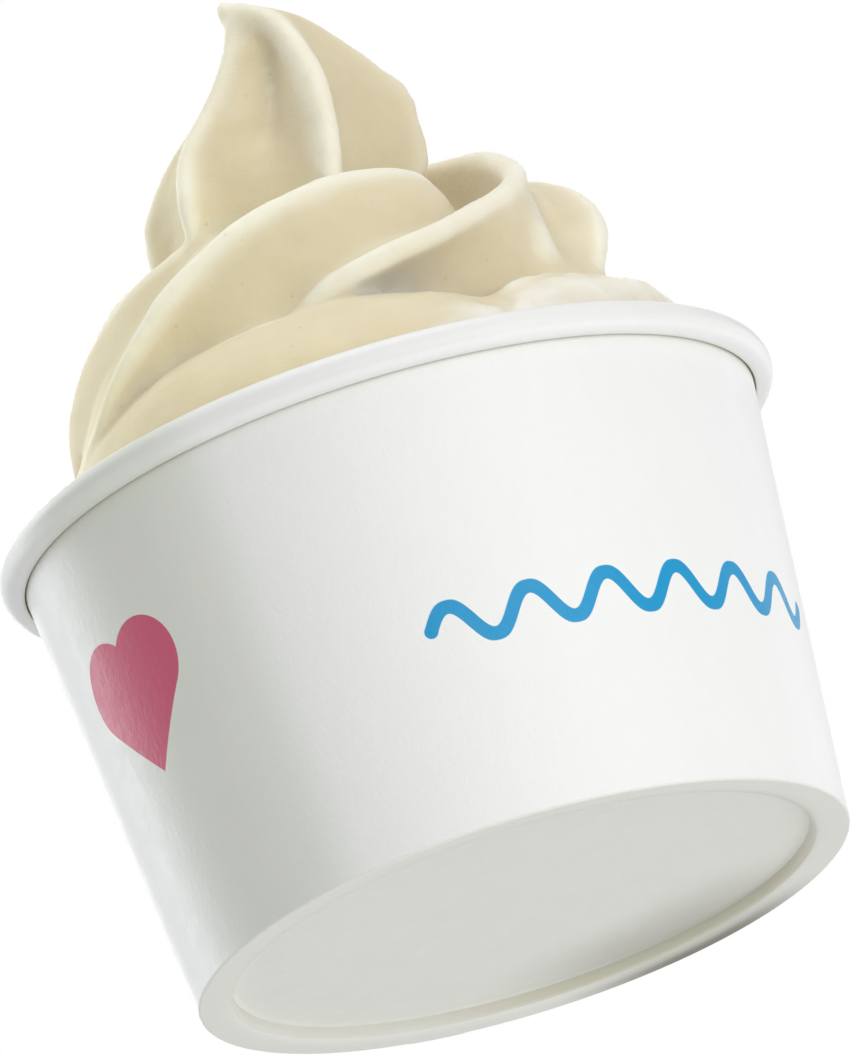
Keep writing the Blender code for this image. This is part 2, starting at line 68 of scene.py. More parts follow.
# ---------------------------------------------------------------- the cup's sizes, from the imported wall
ROLL_HEIGHT, ROLL_RADIUS = 1.1911, 0.041                 # centre and half thickness of the rolled rim, over R
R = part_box("cup_wall")[1].z / (ROLL_HEIGHT + ROLL_RADIUS)    # outer radius of the rim, metres
ROLL_HEIGHT, ROLL_RADIUS = ROLL_HEIGHT * R, ROLL_RADIUS * R
SEAT_RADIUS = 0.8391 * R
WALL_TOP_RADIUS = 0.9428 * R
WALL_TOP = 1.1534 * R
WALL = 0.00108
SEAT_INNER = 0.0365
RECESS_RADIUS = 0.0358
RECESS_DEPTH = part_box("cup_base")[0].z

VOXEL = 0.00060                 # grid on which the folds are merged
SMOOTHING = 8

# ---------------------------------------------------------------- the swirl's proportions
# Core under the folds, on an axis CORE_X beside the cup's: (radius, height), top to bottom.
CORE_X = -0.02
CORE = [(0.02, 2.25), (0.05, 2.20), (0.12, 2.10), (0.22, 2.00), (0.27, 1.90), (0.30, 1.79), (0.36, 1.73),
        (0.42, 1.67), (0.44, 1.60), (0.46, 1.50), (0.55, 1.42), (0.64, 1.30), (0.66, 1.15)]

# Lowest turn, a ring of round section: (azimuth, ring radius, section radius, height).
LOWEST_TURN = [(90, 0.50, 0.300, 1.170), (150, 0.50, 0.315, 1.195), (200, 0.50, 0.315, 1.195),
               (240, 0.50, 0.315, 1.193), (270, 0.50, 0.315, 1.184), (285, 0.50, 0.315, 1.165),
               (300, 0.50, 0.315, 1.130), (320, 0.50, 0.315, 1.080), (345, 0.50, 0.310, 1.040),
               (380, 0.50, 0.300, 1.060), (420, 0.50, 0.300, 1.120), (450, 0.50, 0.300, 1.170)]

# Folds. A row is one section: azimuth, crest height, crest radius; rise, inset and bulge of the flank
# above the crest; the same for the flank below it; and the radius that the section reaches in to.
LEDGE = [(285, 1.200, 0.720, 0.10, -0.20, 0.02, -0.22, 0.03, 0.02, 0.12), (295, 1.270, 0.740, 0.10, -0.20, 0.02, -0.22, 0.03, 0.02, 0.12),
         (306, 1.325, 0.765, 0.09, -0.22, 0.02, -0.22, 0.03, 0.02, 0.12), (320, 1.365, 0.785, 0.08, -0.22, 0.02, -0.22, 0.03, 0.02, 0.12),
         (340, 1.396, 0.798, 0.07, -0.22, 0.02, -0.22, 0.03, 0.02, 0.12), (360, 1.413, 0.796, 0.07, -0.22, 0.02, -0.22, 0.03, 0.02, 0.12),
         (380, 1.418, 0.791, 0.07, -0.22, 0.02, -0.22, 0.03, 0.02, 0.12), (405, 1.411, 0.788, 0.07, -0.22, 0.02, -0.22, 0.03, 0.02, 0.12),
         (430, 1.385, 0.785, 0.07, -0.22, 0.02, -0.22, 0.03, 0.02, 0.12), (455, 1.345, 0.780, 0.08, -0.22, 0.03, -0.22, 0.02, 0.02, 0.12),
         (480, 1.270, 0.775, 0.09, -0.22, 0.04, -0.22, 0.00, 0.02, 0.12), (505, 1.150, 0.760, 0.10, -0.22, 0.04, -0.22, 0.00, 0.02, 0.12)]
LEFT_FOLD = [(108, 1.000, 0.840, 0.35, -0.20, 0.02, -0.10, -0.20, 0.000, 0.12), (120, 1.160, 0.835, 0.38, -0.24, 0.03, -0.14, -0.10, 0.020, 0.12),
             (135, 1.360, 0.790, 0.36, -0.30, 0.03, -0.20, 0.00, 0.010, 0.12), (150, 1.530, 0.730, 0.30, -0.32, 0.03, -0.25, 0.06, 0.020, 0.12),
             (165, 1.655, 0.670, 0.22, -0.28, 0.03, -0.28, 0.09, 0.025, 0.12), (180, 1.745, 0.605, 0.14, -0.21, 0.02, -0.30, 0.13, 0.030, 0.12),
             (195, 1.795, 0.520, 0.07, -0.14, 0.01, -0.32, 0.17, 0.020, 0.12), (208, 1.830, 0.450, 0.03, -0.08, 0.00, -0.34, 0.20, 0.010, 0.12),
             (220, 1.855, 0.390, 0.00, -0.05, 0.00, -0.34, 0.20, 0.000, 0.12), (232, 1.860, 0.300, 0.00, -0.05, 0.00, -0.34, 0.20, 0.000, 0.12)]
FRONT_FOLD = [(188, 1.220, 0.770, 0.300, -0.10, 0.02, -0.10, -0.15, 0.00, 0.12), (200, 1.330, 0.770, 0.350, -0.20, 0.01, -0.10, -0.15, 0.00, 0.12),
              (209, 1.401, 0.757, 0.400, -0.30, 0.00, -0.10, -0.14, -0.01, 0.12), (215, 1.489, 0.727, 0.340, -0.33, 0.00, -0.14, -0.13, -0.02, 0.12),
              (223, 1.579, 0.686, 0.260, -0.32, 0.00, -0.20, -0.12, -0.02, 0.12), (231, 1.660, 0.636, 0.185, -0.27, 0.00, -0.25, -0.08, -0.02, 0.12),
              (239, 1.720, 0.586, 0.120, -0.24, 0.00, -0.28, -0.03, -0.01, 0.12), (248, 1.774, 0.536, 0.060, -0.19, 0.00, -0.30, 0.01, 0.00, 0.12),
              (258, 1.811, 0.497, 0.010, -0.15, 0.00, -0.30, 0.03, 0.005, 0.12), (270, 1.837, 0.463, -0.020, -0.13, 0.00, -0.30, 0.06, 0.01, 0.12),
              (283, 1.854, 0.440, -0.040, -0.12, 0.00, -0.28, 0.08, 0.015, 0.12), (298, 1.858, 0.425, -0.050, -0.11, 0.00, -0.26, 0.09, 0.02, 0.12),
              (310, 1.853, 0.415, -0.060, -0.10, 0.00, -0.24, 0.09, 0.02, 0.12), (316, 1.845, 0.415, -0.060, -0.09, 0.00, -0.24, 0.09, 0.02, 0.12),
              (320, 1.822, 0.412, -0.060, -0.09, 0.00, -0.20, 0.065, 0.02, 0.12), (325, 1.790, 0.392, -0.050, -0.08, 0.00, -0.20, 0.055, 0.02, 0.12),
              (331, 1.745, 0.355, -0.030, -0.07, 0.00, -0.20, 0.05, 0.02, 0.12), (339, 1.690, 0.300, -0.020, -0.06, 0.00, -0.20, 0.05, 0.02, 0.12)]
CURL = [(252, 1.425, 0.545, 0.04, -0.08, 0.00, -0.08, -0.10, 0.000, 0.40), (262, 1.478, 0.590, 0.06, -0.09, 0.00, -0.09, -0.13, 0.000, 0.40),
        (270, 1.508, 0.618, 0.07, -0.10, 0.00, -0.10, -0.17, -0.010, 0.40), (279, 1.536, 0.632, 0.07, -0.11, -0.01, -0.13, -0.19, -0.025, 0.40),
        (288, 1.562, 0.637, 0.07, -0.12, -0.01, -0.17, -0.19, -0.040, 0.40), (299, 1.594, 0.634, 0.05, -0.13, -0.01, -0.22, -0.16, -0.055, 0.40),
        (311, 1.648, 0.618, 0.02, -0.14, -0.02, -0.27, -0.09, -0.065, 0.40), (323, 1.708, 0.602, -0.07, -0.14, -0.02, -0.31, 0.01, -0.055, 0.40),
        (334, 1.767, 0.580, -0.15, -0.13, -0.02, -0.345, 0.12, -0.040, 0.40), (345, 1.817, 0.549, -0.21, -0.13, -0.02, -0.37, 0.15, -0.060, 0.40),
        (360, 1.890, 0.531, -0.25, -0.12, -0.01, -0.40, 0.15, -0.060, 0.38), (380, 1.990, 0.508, -0.27, -0.11, -0.01, -0.42, 0.06, -0.030, 0.36),
        (400, 2.045, 0.485, -0.24, -0.09, -0.01, -0.46, 0.02, -0.010, 0.34), (420, 2.094, 0.435, -0.17, -0.08, -0.01, -0.48, 0.06, 0.000, 0.28),
        (440, 2.129, 0.375, -0.10, -0.07, 0.00, -0.50, 0.12, 0.000, 0.20), (460, 2.151, 0.310, -0.06, -0.06, 0.00, -0.50, 0.16, 0.000, 0.14),
        (480, 2.157, 0.230, -0.04, -0.05, 0.00, -0.50, 0.20, 0.000, 0.10)]
RIGHT_FOLD = [(338, 1.330, 0.620, 0.05, -0.10, 0.00, -0.10, -0.10, 0.00, 0.50), (344, 1.420, 0.664, 0.06, -0.11, 0.00, -0.12, -0.08, 0.00, 0.50),
              (349, 1.510, 0.689, 0.07, -0.12, -0.01, -0.16, -0.10, 0.00, 0.50), (355, 1.600, 0.710, 0.07, -0.12, -0.01, -0.22, -0.12, -0.03, 0.50),
              (362, 1.685, 0.714, 0.07, -0.12, -0.02, -0.34, -0.10, -0.04, 0.51), (370, 1.772, 0.703, 0.06, -0.13, -0.02, -0.44, -0.06, -0.04, 0.52),
              (379, 1.849, 0.677, 0.05, -0.13, -0.02, -0.52, 0.00, -0.03, 0.52), (390, 1.917, 0.640, 0.03, -0.11, -0.02, -0.60, 0.02, -0.03, 0.50),
              (406, 1.950, 0.580, 0.00, -0.10, -0.02, -0.66, 0.06, -0.02, 0.46), (424, 1.960, 0.505, 0.00, -0.08, -0.01, -0.70, 0.12, -0.01, 0.41),
              (442, 1.965, 0.430, 0.00, -0.08, -0.01, -0.72, 0.18, 0.00, 0.34), (462, 1.960, 0.340, 0.00, -0.08, -0.01, -0.74, 0.26, 0.00, 0.24),
              (480, 1.950, 0.260, 0.00, -0.08, -0.01, -0.74, 0.32, 0.00, 0.14)]


def back_fold(azimuth, lower, fade):
    """The folds at the back follow one rule, turned to their azimuth, lowered, and fading towards their end."""
    rule = [(-30, 1.280, 0.690, 0.05, -0.12, 0.00), (-20, 1.400, 0.715, 0.06, -0.14, 0.00), (-10, 1.510, 0.725, 0.08, -0.18, -0.01),
            (0, 1.620, 0.722, 0.08, -0.22, -0.02), (10, 1.720, 0.710, 0.08, -0.26, -0.02), (22, 1.820, 0.680, 0.06, -0.28, -0.02),
            (36, 1.895, 0.635, 0.03, -0.28, -0.02), (52, 1.935, 0.570, 0.02, -0.26, -0.02), (70, 1.950, 0.485, 0.00, -0.22, -0.01),
            (88, 1.955, 0.400, 0.00, -0.20, -0.01), (108, 1.955, 0.310, 0.00, -0.16, 0.00)]
    rows = []
    for turn, z, r, rise, inset, bulge in rule:
        z -= lower + fade * max(0, turn - 10) / 98
        along = max(0, min(1, (turn + 10) / 62))
        hollow = -0.035 * min(1, max(0, (turn + 30) / 40))
        rows.append((azimuth + turn, z, r, rise, inset, bulge, 1.22 - z, (0.665 - r) * (1 - 0.35 * along) - 0.02, hollow, 0.12))
    return rows


# name: (rows, radius of the rounded crest)
FOLDS = {
    "ledge": (LEDGE, 0.045),
    "left_fold": (LEFT_FOLD, 0.045),
    "front_fold": (FRONT_FOLD, 0.033),
    "curl": (CURL, 0.038),
    "right_fold": (RIGHT_FOLD, 0.045),
    "back_fold_1": (back_fold(52, 0.02, 0.0), 0.042),
    "back_fold_2": (back_fold(106, 0.05, 0.10), 0.042),
}

# The peak, on an axis PEAK_X beside the cup's, has six ridges that run in to the tip.
# Ridges counter-clockwise from the right: crest (azimuth, height, radius).
PEAK_X = -0.005
PEAK_RIDGES = [
    [(350, 1.750, 0.250), (352, 1.850, 0.275), (353, 1.915, 0.335), (355, 1.970, 0.354), (356, 2.050, 0.356), (358, 2.120, 0.355), (360, 2.170, 0.342),
     (361, 2.220, 0.306), (362, 2.280, 0.267), (364, 2.350, 0.215), (366, 2.420, 0.155), (366, 2.460, 0.095), (366, 2.490, 0.030)],
    [(60, 1.750, 0.400), (62, 1.880, 0.400), (64, 2.000, 0.390), (66, 2.100, 0.350), (68, 2.200, 0.280), (70, 2.300, 0.200),
     (72, 2.400, 0.110), (74, 2.470, 0.040)],
    [(116, 1.750, 0.400), (117, 1.880, 0.400), (118, 2.000, 0.385), (119, 2.100, 0.340), (120, 2.200, 0.250), (122, 2.300, 0.170),
     (124, 2.400, 0.090), (126, 2.470, 0.030)],
    [(174, 1.750, 0.405), (174, 1.910, 0.402), (174, 2.010, 0.390), (174, 2.065, 0.359), (174, 2.120, 0.315), (174, 2.170, 0.265),
     (174, 2.210, 0.214), (174, 2.260, 0.153), (174, 2.310, 0.098), (176, 2.360, 0.063), (178, 2.420, 0.044), (180, 2.460, 0.038)],
    [(222, 1.750, 0.385), (222, 1.848, 0.385), (223, 1.964, 0.380), (221, 2.072, 0.330), (222, 2.144, 0.280), (225, 2.258, 0.171),
     (236, 2.366, 0.100), (240, 2.440, 0.060), (240, 2.490, 0.030)],
    [(284, 1.750, 0.385), (287, 1.878, 0.385), (291, 1.989, 0.380), (295.7, 2.109, 0.345), (301.5, 2.237, 0.275), (306.5, 2.345, 0.200),
     (306, 2.420, 0.140), (292, 2.465, 0.080), (280, 2.495, 0.030)],
]
# The face after each ridge: (height, depth as a fraction of its width, flatness of its floor, how far the floor leans to the first ridge).
PEAK_FACES = [
    [(1.75, 0.14, 2.5, 1.0), (2.20, 0.14, 2.5, 1.0), (2.50, 0.05, 2.0, 1.0)],
    [(1.75, 0.14, 2.5, 1.0), (2.20, 0.14, 2.5, 1.0), (2.50, 0.05, 2.0, 1.0)],
    [(1.75, 0.14, 2.5, 1.0), (2.20, 0.14, 2.5, 1.0), (2.50, 0.05, 2.0, 1.0)],
    [(1.75, 0.13, 3.0, 1.3), (2.00, 0.13, 3.0, 1.3), (2.20, 0.10, 3.0, 1.2), (2.50, 0.05, 2.0, 1.0)],
    [(1.75, 0.13, 3.0, 0.85), (1.87, 0.13, 3.0, 0.85), (1.95, 0.11, 3.0, 0.9), (2.10, 0.09, 3.0, 1.0), (2.30, 0.08, 2.5, 1.0),
     (2.50, 0.02, 2.0, 1.0)],
    [(1.75, 0.11, 3.5, 0.75), (2.00, 0.12, 3.5, 0.75), (2.12, 0.15, 3.5, 0.75), (2.20, 0.135, 3.5, 0.75), (2.30, 0.11, 3.0, 0.8),
     (2.50, 0.03, 2.0, 1.0)],
]
PEAK_CREST = [(1.75, 0.032), (2.20, 0.030), (2.40, 0.024), (2.50, 0.012)]    # height, radius of the rounded ridges
# A groove down the front face: place across the face, half-width, and (height, depth).
GROOVE_FACE, GROOVE_AT, GROOVE_WIDTH = 4, 0.555, 0.125
GROOVE = [(1.88, 0.000), (1.96, 0.006), (2.03, 0.022), (2.10, 0.056), (2.18, 0.070), (2.28, 0.058), (2.38, 0.014), (2.42, 0.000)]
PEAK_FOOT, PEAK_TOP = 1.75, 2.49

# Curled tip: (x, height, radius).
TIP = [(0.030, 2.360, 0.072), (0.020, 2.410, 0.063), (0.000, 2.445, 0.046), (-0.018, 2.476, 0.037), (-0.029, 2.498, 0.028),
       (-0.034, 2.514, 0.015)]


# ---------------------------------------------------------------- shapes
def smooth_rows(rows, count):
    """A Catmull-Rom curve through the rows, at `count` even steps."""
    k = np.asarray(rows, float)
    last = len(k) - 1
    x = np.linspace(0, last, count)
    i = np.minimum(x.astype(int), last - 1)
    f = (x - i)[:, None]
    before = np.where((i == 0)[:, None], 2 * k[0] - k[1], k[np.maximum(i - 1, 0)])
    after = np.where((i + 2 > last)[:, None], 2 * k[last] - k[last - 1], k[np.minimum(i + 2, last)])
    a, b = k[i], k[i + 1]
    return 0.5 * (2 * a + (b - before) * f + (2 * before - 5 * a + 4 * b - after) * f**2
                  + (3 * a - before - 3 * b + after) * f**3)


def unit(v):
    return v / (np.linalg.norm(v, axis=-1, keepdims=True) + 1e-12)


def loft(rings):
    """A closed mesh through closed rings of equal count, with a fan at each end."""
    rings = np.asarray(rings, float)
    n, m, _ = rings.shape
    points = np.concatenate([rings.reshape(-1, 3), [rings[0].mean(0), rings[-1].mean(0)]])
    faces = []
    for i in range(n - 1):
        for j in range(m):
            a, b = i * m + j, i * m + (j + 1) % m
            faces.append((a, b, b + m, a + m))
    for j in range(m):
        faces.append((n * m, (j + 1) % m, j))
        faces.append((n * m + 1, (n - 1) * m + j, (n - 1) * m + (j + 1) % m))
    mesh = bmesh.new()
    verts = [mesh.verts.new(p) for p in points]
    for face in faces:
        mesh.faces.new([verts[k] for k in face])
    bmesh.ops.recalc_face_normals(mesh, faces=mesh.faces)
    return mesh


def turned(profile, segments, axis_x=0.0, ring=False):
    """A turned mesh. With ring, the profile (radius, height) is a closed loop; else it runs from axis to axis."""
    mesh = bmesh.new()
    loops = []
    for r, z in profile:
        loops.append([mesh.verts.new((axis_x + r * math.cos(TAU * j / segments), r * math.sin(TAU * j / segments), z))
                      for j in range(segments)])
    count = len(loops)
    for i in range(count if ring else count - 1):
        a, b = loops[i], loops[(i + 1) % count]
        for j in range(segments):
            k = (j + 1) % segments
            mesh.faces.new((a[j], a[k], b[k], b[j]))
    if not ring:
        for loop, z in ((loops[0], profile[0][1]), (loops[-1], profile[-1][1])):
            centre = mesh.verts.new((axis_x, 0, z))
            for j in range(segments):
                mesh.faces.new((centre, loop[j], loop[(j + 1) % segments]))
    bmesh.ops.recalc_face_normals(mesh, faces=mesh.faces)
    return mesh


def fold(rows, crest_radius, sections=96, flank_points=14, arc_points=10):
    """A fold of the swirl. Each section runs foot - flank - arc over the crest - flank - foot, and back inside."""
    table = smooth_rows(rows, sections)
    rings = []
    for azimuth, z, r, up_z, up_r, up_bulge, down_z, down_r, down_bulge, inner in table:
        crest = np.array([r, z])
        upper, lower = crest + [up_r, up_z], crest + [down_r, down_z]
        span = lower - upper
        outward = unit(-(unit(upper - crest) + unit(lower - crest)) + 0.25 * unit(np.array([-span[1], span[0]])))
        centre = crest - crest_radius * outward

        def touch(foot, side):
            v = foot - centre
            return math.atan2(v[1], v[0]) - side * math.acos(min(1, crest_radius / np.hypot(*v)))

        middle = math.atan2(outward[1], outward[0])
        first, last = touch(upper, 1), touch(lower, -1)
        while first < middle:
            first += TAU
        while first > middle + math.pi:
            first -= TAU
        while last > middle:
            last -= TAU
        while last < middle - math.pi:
            last += TAU
        half = arc_points // 2 + 1
        angles = np.concatenate([np.linspace(first, middle, half), np.linspace(middle, last, half)[1:]])
        arc = centre + crest_radius * np.stack([np.cos(angles), np.sin(angles)], -1)
        k = np.linspace(0, 1, flank_points + 1)[:, None]

        def flank(start, end, bulge):
            side = unit(np.array([start[1] - end[1], end[0] - start[0]]))
            return start + (end - start) * k + side * bulge * 4 * k * (1 - k)

        section = np.concatenate([flank(upper, arc[0], up_bulge)[:-1], arc, flank(arc[-1], lower, down_bulge)[1:],
                                  [[inner, lower[1]], [inner, upper[1]]]])
        t = math.radians(azimuth)
        rings.append([(x * math.cos(t), x * math.sin(t), y) for x, y in section])
    return loft(rings)


def peak(levels=60, face_points=40, arc_points=8):
    """The peak: level sections, each a star of rounded ridges joined by hollow faces."""
    ridges = [smooth_rows(rows, 300) for rows in PEAK_RIDGES]
    crest = np.array(PEAK_CREST)
    groove = np.array(GROOVE)
    s = 0.5 - 0.5 * np.cos(np.linspace(0, math.pi, face_points + 1))
    rings = []
    for z in np.linspace(PEAK_FOOT, PEAK_TOP, levels):
        rounding = np.interp(z, crest[:, 0], crest[:, 1])
        corners = []
        for ridge in ridges:
            t = math.radians(np.interp(z, ridge[:, 1], ridge[:, 0]))
            r = max(0.002, np.interp(z, ridge[:, 1], ridge[:, 2]) - rounding)
            corners.append(np.array([PEAK_X + r * math.cos(t), r * math.sin(t)]))
        faces = []
        for k, corner in enumerate(corners):
            chord = corners[(k + 1) % len(corners)] - corner
            width = np.hypot(*chord)
            inward = np.array([-chord[1], chord[0]]) / (width + 1e-9)
            rows = np.array(PEAK_FACES[k])
            depth, flatness, lean = (np.interp(z, rows[:, 0], rows[:, c]) for c in (1, 2, 3))
            hollow = depth * width * (1 - np.abs(2 * s**lean - 1) ** flatness)
            if k == GROOVE_FACE:
                hollow = hollow + np.interp(z, groove[:, 0], groove[:, 1]) * np.exp(-0.5 * ((s - GROOVE_AT) / GROOVE_WIDTH) ** 2)
            line = corner + chord * s[:, None] + inward * hollow[:, None]
            along = unit(np.gradient(line, axis=0))
            outward = np.stack([along[:, 1], -along[:, 0]], -1)
            faces.append((line + rounding * outward, outward))
        section = []
        for k, corner in enumerate(corners):
            before, after = faces[k - 1][1][-1], faces[k][1][0]
            start, end = math.atan2(before[1], before[0]), math.atan2(after[1], after[0])
            while end < start - 0.2:
                end += TAU
            t = np.linspace(start, end, arc_points + 1)[:-1]
            section.append(corner + rounding * np.stack([np.cos(t), np.sin(t)], -1))
            section.append(faces[k][0][:-1])
        section = np.concatenate(section)
        rings.append(np.column_stack([section, np.full(len(section), z)]))
    return loft(rings)


def tube_of_circles(circles, count=14, sides=16):
    table = smooth_rows(circles, count)
    return loft([[(x + r * math.cos(TAU * j / sides), r * math.sin(TAU * j / sides), z) for j in range(sides)]
                 for x, z, r in table])


def lowest_turn(rows, sections=121, sides=32):
    rings = []
    for azimuth, ring_radius, radius, z in smooth_rows(rows, sections):
        t = math.radians(azimuth)
        rings.append([((ring_radius + radius * math.cos(TAU * j / sides)) * math.cos(t),
                       (ring_radius + radius * math.cos(TAU * j / sides)) * math.sin(t),
                       z + radius * math.sin(TAU * j / sides)) for j in range(sides)])
    return loft(rings)


def object_of(name, mesh, scale=1.0):
    data = bpy.data.meshes.new(name)
    mesh.to_mesh(data)
    mesh.free()
    if scale != 1.0:
        data.transform(Matrix.Scale(scale, 4))
    obj = bpy.data.objects.new(name, data)
    bpy.context.scene.collection.objects.link(obj)
    data.shade_smooth()
    return obj


def outer_radius(z):
    return SEAT_RADIUS + (WALL_TOP_RADIUS - SEAT_RADIUS) * z / WALL_TOP


# ---------------------------------------------------------------- the yogurt
FILL = [(0.76, 1.190), (0.84, 1.176), (0.927, 1.165), (0.906, 0.93)]
CUT = 1.02                      # below this the fill only follows the wall
# The crease that the curl flows over, and the low ridge beside it: (azimuth, height, radius).
FLOW = [(338, 1.410, 0.690), (343, 1.500, 0.670), (347, 1.590, 0.640)]
FLARE = [(342, 1.690, 0.565), (339, 1.640, 0.585), (333, 1.570, 0.625), (321, 1.484, 0.665), (309, 1.415, 0.700)]


def merged_swirl():
    """All folds and the top of the fill, merged on a fine grid and softened."""
    shapes = [turned(CORE, 96, CORE_X), turned(FILL, 240), lowest_turn(LOWEST_TURN), peak(90), tube_of_circles(TIP, 24, 24)]
    shapes += [fold(rows, crest, 160, 20, 14) for rows, crest in FOLDS.values()]
    joined = bmesh.new()
    for shape in shapes:
        piece = bpy.data.meshes.new("piece")
        shape.to_mesh(piece)
        shape.free()
        joined.from_mesh(piece)
        bpy.data.meshes.remove(piece)
    obj = object_of("yogurt_swirl", joined, R)
    merge = obj.modifiers.new("merge", "REMESH")
    merge.mode = "VOXEL"
    merge.voxel_size = VOXEL
    soften = obj.modifiers.new("soften", "SMOOTH")
    soften.factor = 0.5
    soften.iterations = SMOOTHING
    bpy.context.view_layer.update()
    graph = bpy.context.evaluated_depsgraph_get()
    data = bpy.data.meshes.new_from_object(obj.evaluated_get(graph))
    obj.modifiers.clear()
    obj.data = data
    return obj


def extend_down(obj):
    """Everything under CUT gives way to a plain body that follows the wall down to the base disc."""
    mesh = bmesh.new()
    mesh.from_mesh(obj.data)
    bmesh.ops.bisect_plane(mesh, geom=mesh.verts[:] + mesh.edges[:] + mesh.faces[:], dist=1e-7,
                           plane_co=(0, 0, CUT * R), plane_no=(0, 0, 1), clear_inner=True)
    rim = [e for e in mesh.edges if e.is_boundary]
    floor = RECESS_DEPTH + 0.0007
    for z in [0.9 * R, 0.6 * R, 0.3 * R, 0.0045, floor]:
        radius = (outer_radius(z) - WALL + 0.0003) if z > floor else SEAT_INNER + 0.0006
        made = bmesh.ops.extrude_edge_only(mesh, edges=rim)["geom"]
        rim = [g for g in made if isinstance(g, bmesh.types.BMEdge) and g.is_boundary]
        for vert in {v for e in rim for v in e.verts}:
            here = math.hypot(vert.co.x, vert.co.y)
            vert.co = (vert.co.x * radius / here, vert.co.y * radius / here, z)
    bmesh.ops.contextual_create(mesh, geom=rim)
    bmesh.ops.recalc_face_normals(mesh, faces=mesh.faces)
    bmesh.ops.triangulate(mesh, faces=[f for f in mesh.faces if len(f.verts) > 4])
    mesh.to_mesh(obj.data)
    mesh.free()
    obj.data.shade_smooth()


def mesh_arrays(data):
    points = np.empty(len(data.vertices) * 3, np.float32)
    data.vertices.foreach_get("co", points)
    normals = np.empty(len(data.vertices) * 3, np.float32)
    data.vertex_normals.foreach_get("vector", normals)
    edges = np.empty(len(data.edges) * 2, np.int32)
    data.edges.foreach_get("vertices", edges)
    return points.reshape(-1, 3).astype(float), normals.reshape(-1, 3).astype(float), edges.reshape(-1, 2)


def smoothed(values, edges, rounds):
    """values averaged with their neighbours' over the mesh, rounds times."""
    a, b = edges[:, 0], edges[:, 1]
    count = np.bincount(a, minlength=len(values)) + np.bincount(b, minlength=len(values))
    count = np.maximum(count, 1)[:, None]
    values = values.copy()
    for _ in range(rounds):
        total = np.stack([np.bincount(a, values[b, c], len(values)) + np.bincount(b, values[a, c], len(values))
                          for c in range(values.shape[1])], -1)
        values += 0.5 * (total / count - values)
    return values


def ease(x, low, high):
    t = np.clip((x - low) / (high - low), 0, 1)
    return t * t * (3 - 2 * t)


def roughen(obj):
    """The slight unevenness that piped yogurt has: broad waves everywhere, and lumps on the ledge at the right."""
    points, normals, _ = mesh_arrays(obj.data)
    r = np.hypot(points[:, 0], points[:, 1]) / R
    z = points[:, 2] / R
    azimuth = np.degrees(np.arctan2(points[:, 1], points[:, 0]))
    exposed = ease(z, 1.04, 1.12)
    slim = 1 - 0.6 * ease(z, 2.1, 2.4)
    ledge = ease(azimuth, -80, -62) * (1 - ease(azimuth, 20, 60)) * ease(z, 1.18, 1.26) * (1 - ease(z, 1.42, 1.50)) * ease(r, 0.60, 0.68)
    shift = np.zeros(len(points))
    for i in np.nonzero(exposed > 0)[0]:
        p = Vector(points[i])
        amount = 0.00016 * noise.noise(p * 140) + 0.00009 * noise.noise(p * 330 + Vector((7, 3, 1))) + 0.00003 * noise.noise(p * 900)
        amount *= slim[i]
        if ledge[i] > 0:
            lump = noise.noise(Vector((p.x * 190, p.y * 190, p.z * 260)))
            amount += ledge[i] * (0.00062 * lump + 0.00028 * noise.noise(p * 480 + Vector((2, 9, 4))))
        shift[i] = amount * exposed[i]
    points += normals * shift[:, None]
    obj.data.vertices.foreach_set("co", points.astype(np.float32).ravel())
    obj.data.update()


def mark_relief(obj):
    """Stores how far each point stands out of, or lies below, the surface round it, at three scales, in millimetres."""
    points, normals, edges = mesh_arrays(obj.data)
    level, done = points, 0
    for name, rounds in (("relief_fine", 14), ("relief", 45), ("relief_wide", 150)):
        level, done = smoothed(level, edges, rounds - done), rounds
        out = smoothed(((points - level) * normals).sum(1, keepdims=True) * 1000, edges, 4)
        made = obj.data.attributes.new(name, "FLOAT", "POINT")
        made.data.foreach_set("value", out[:, 0].astype(np.float32))


def crest_lines():
    """Points along every crest of the swirl, in metres, with how wide and how strong its band of painted light is."""
    lines = []
    for name, (rows, _) in FOLDS.items():
        for azimuth, z, r in smooth_rows(rows, 320)[:, :3]:
            t = math.radians(azimuth)
            width, strength = {"ledge": (3.2, 1.0), "curl": (1.7, 0.9), "front_fold": (2.3, 1.0)}.get(name, (1.5, 0.9))
            lines.append((r * math.cos(t) * R, r * math.sin(t) * R, z * R, width, strength))
    for rows, turn, width, strength in zip(PEAK_RIDGES, (0, 0, 0, 0, 0, -5), (1.8, 1.8, 1.8, 1.8, 2.0, 2.4), (0.35, 0.8, 0.8, 0.8, 1.0, 1.0)):
        for azimuth, z, r in smooth_rows(rows, 120):
            t = math.radians(azimuth + turn)
            lines.append(((PEAK_X + r * math.cos(t)) * R, r * math.sin(t) * R, z * R, width, strength))
    for azimuth, z, r in smooth_rows(FLARE, 60):
        t = math.radians(azimuth)
        lines.append((r * math.cos(t) * R, r * math.sin(t) * R, z * R, 2.3, 0.8))
    for azimuth, ring_radius, radius, z in smooth_rows(LOWEST_TURN, 320):
        t, up = math.radians(azimuth), math.radians(66)
        reach = ring_radius + radius * math.cos(up)
        lines.append((reach * math.cos(t) * R, reach * math.sin(t) * R, (z + radius * math.sin(up)) * R, 1.0, 0.75))
    return lines


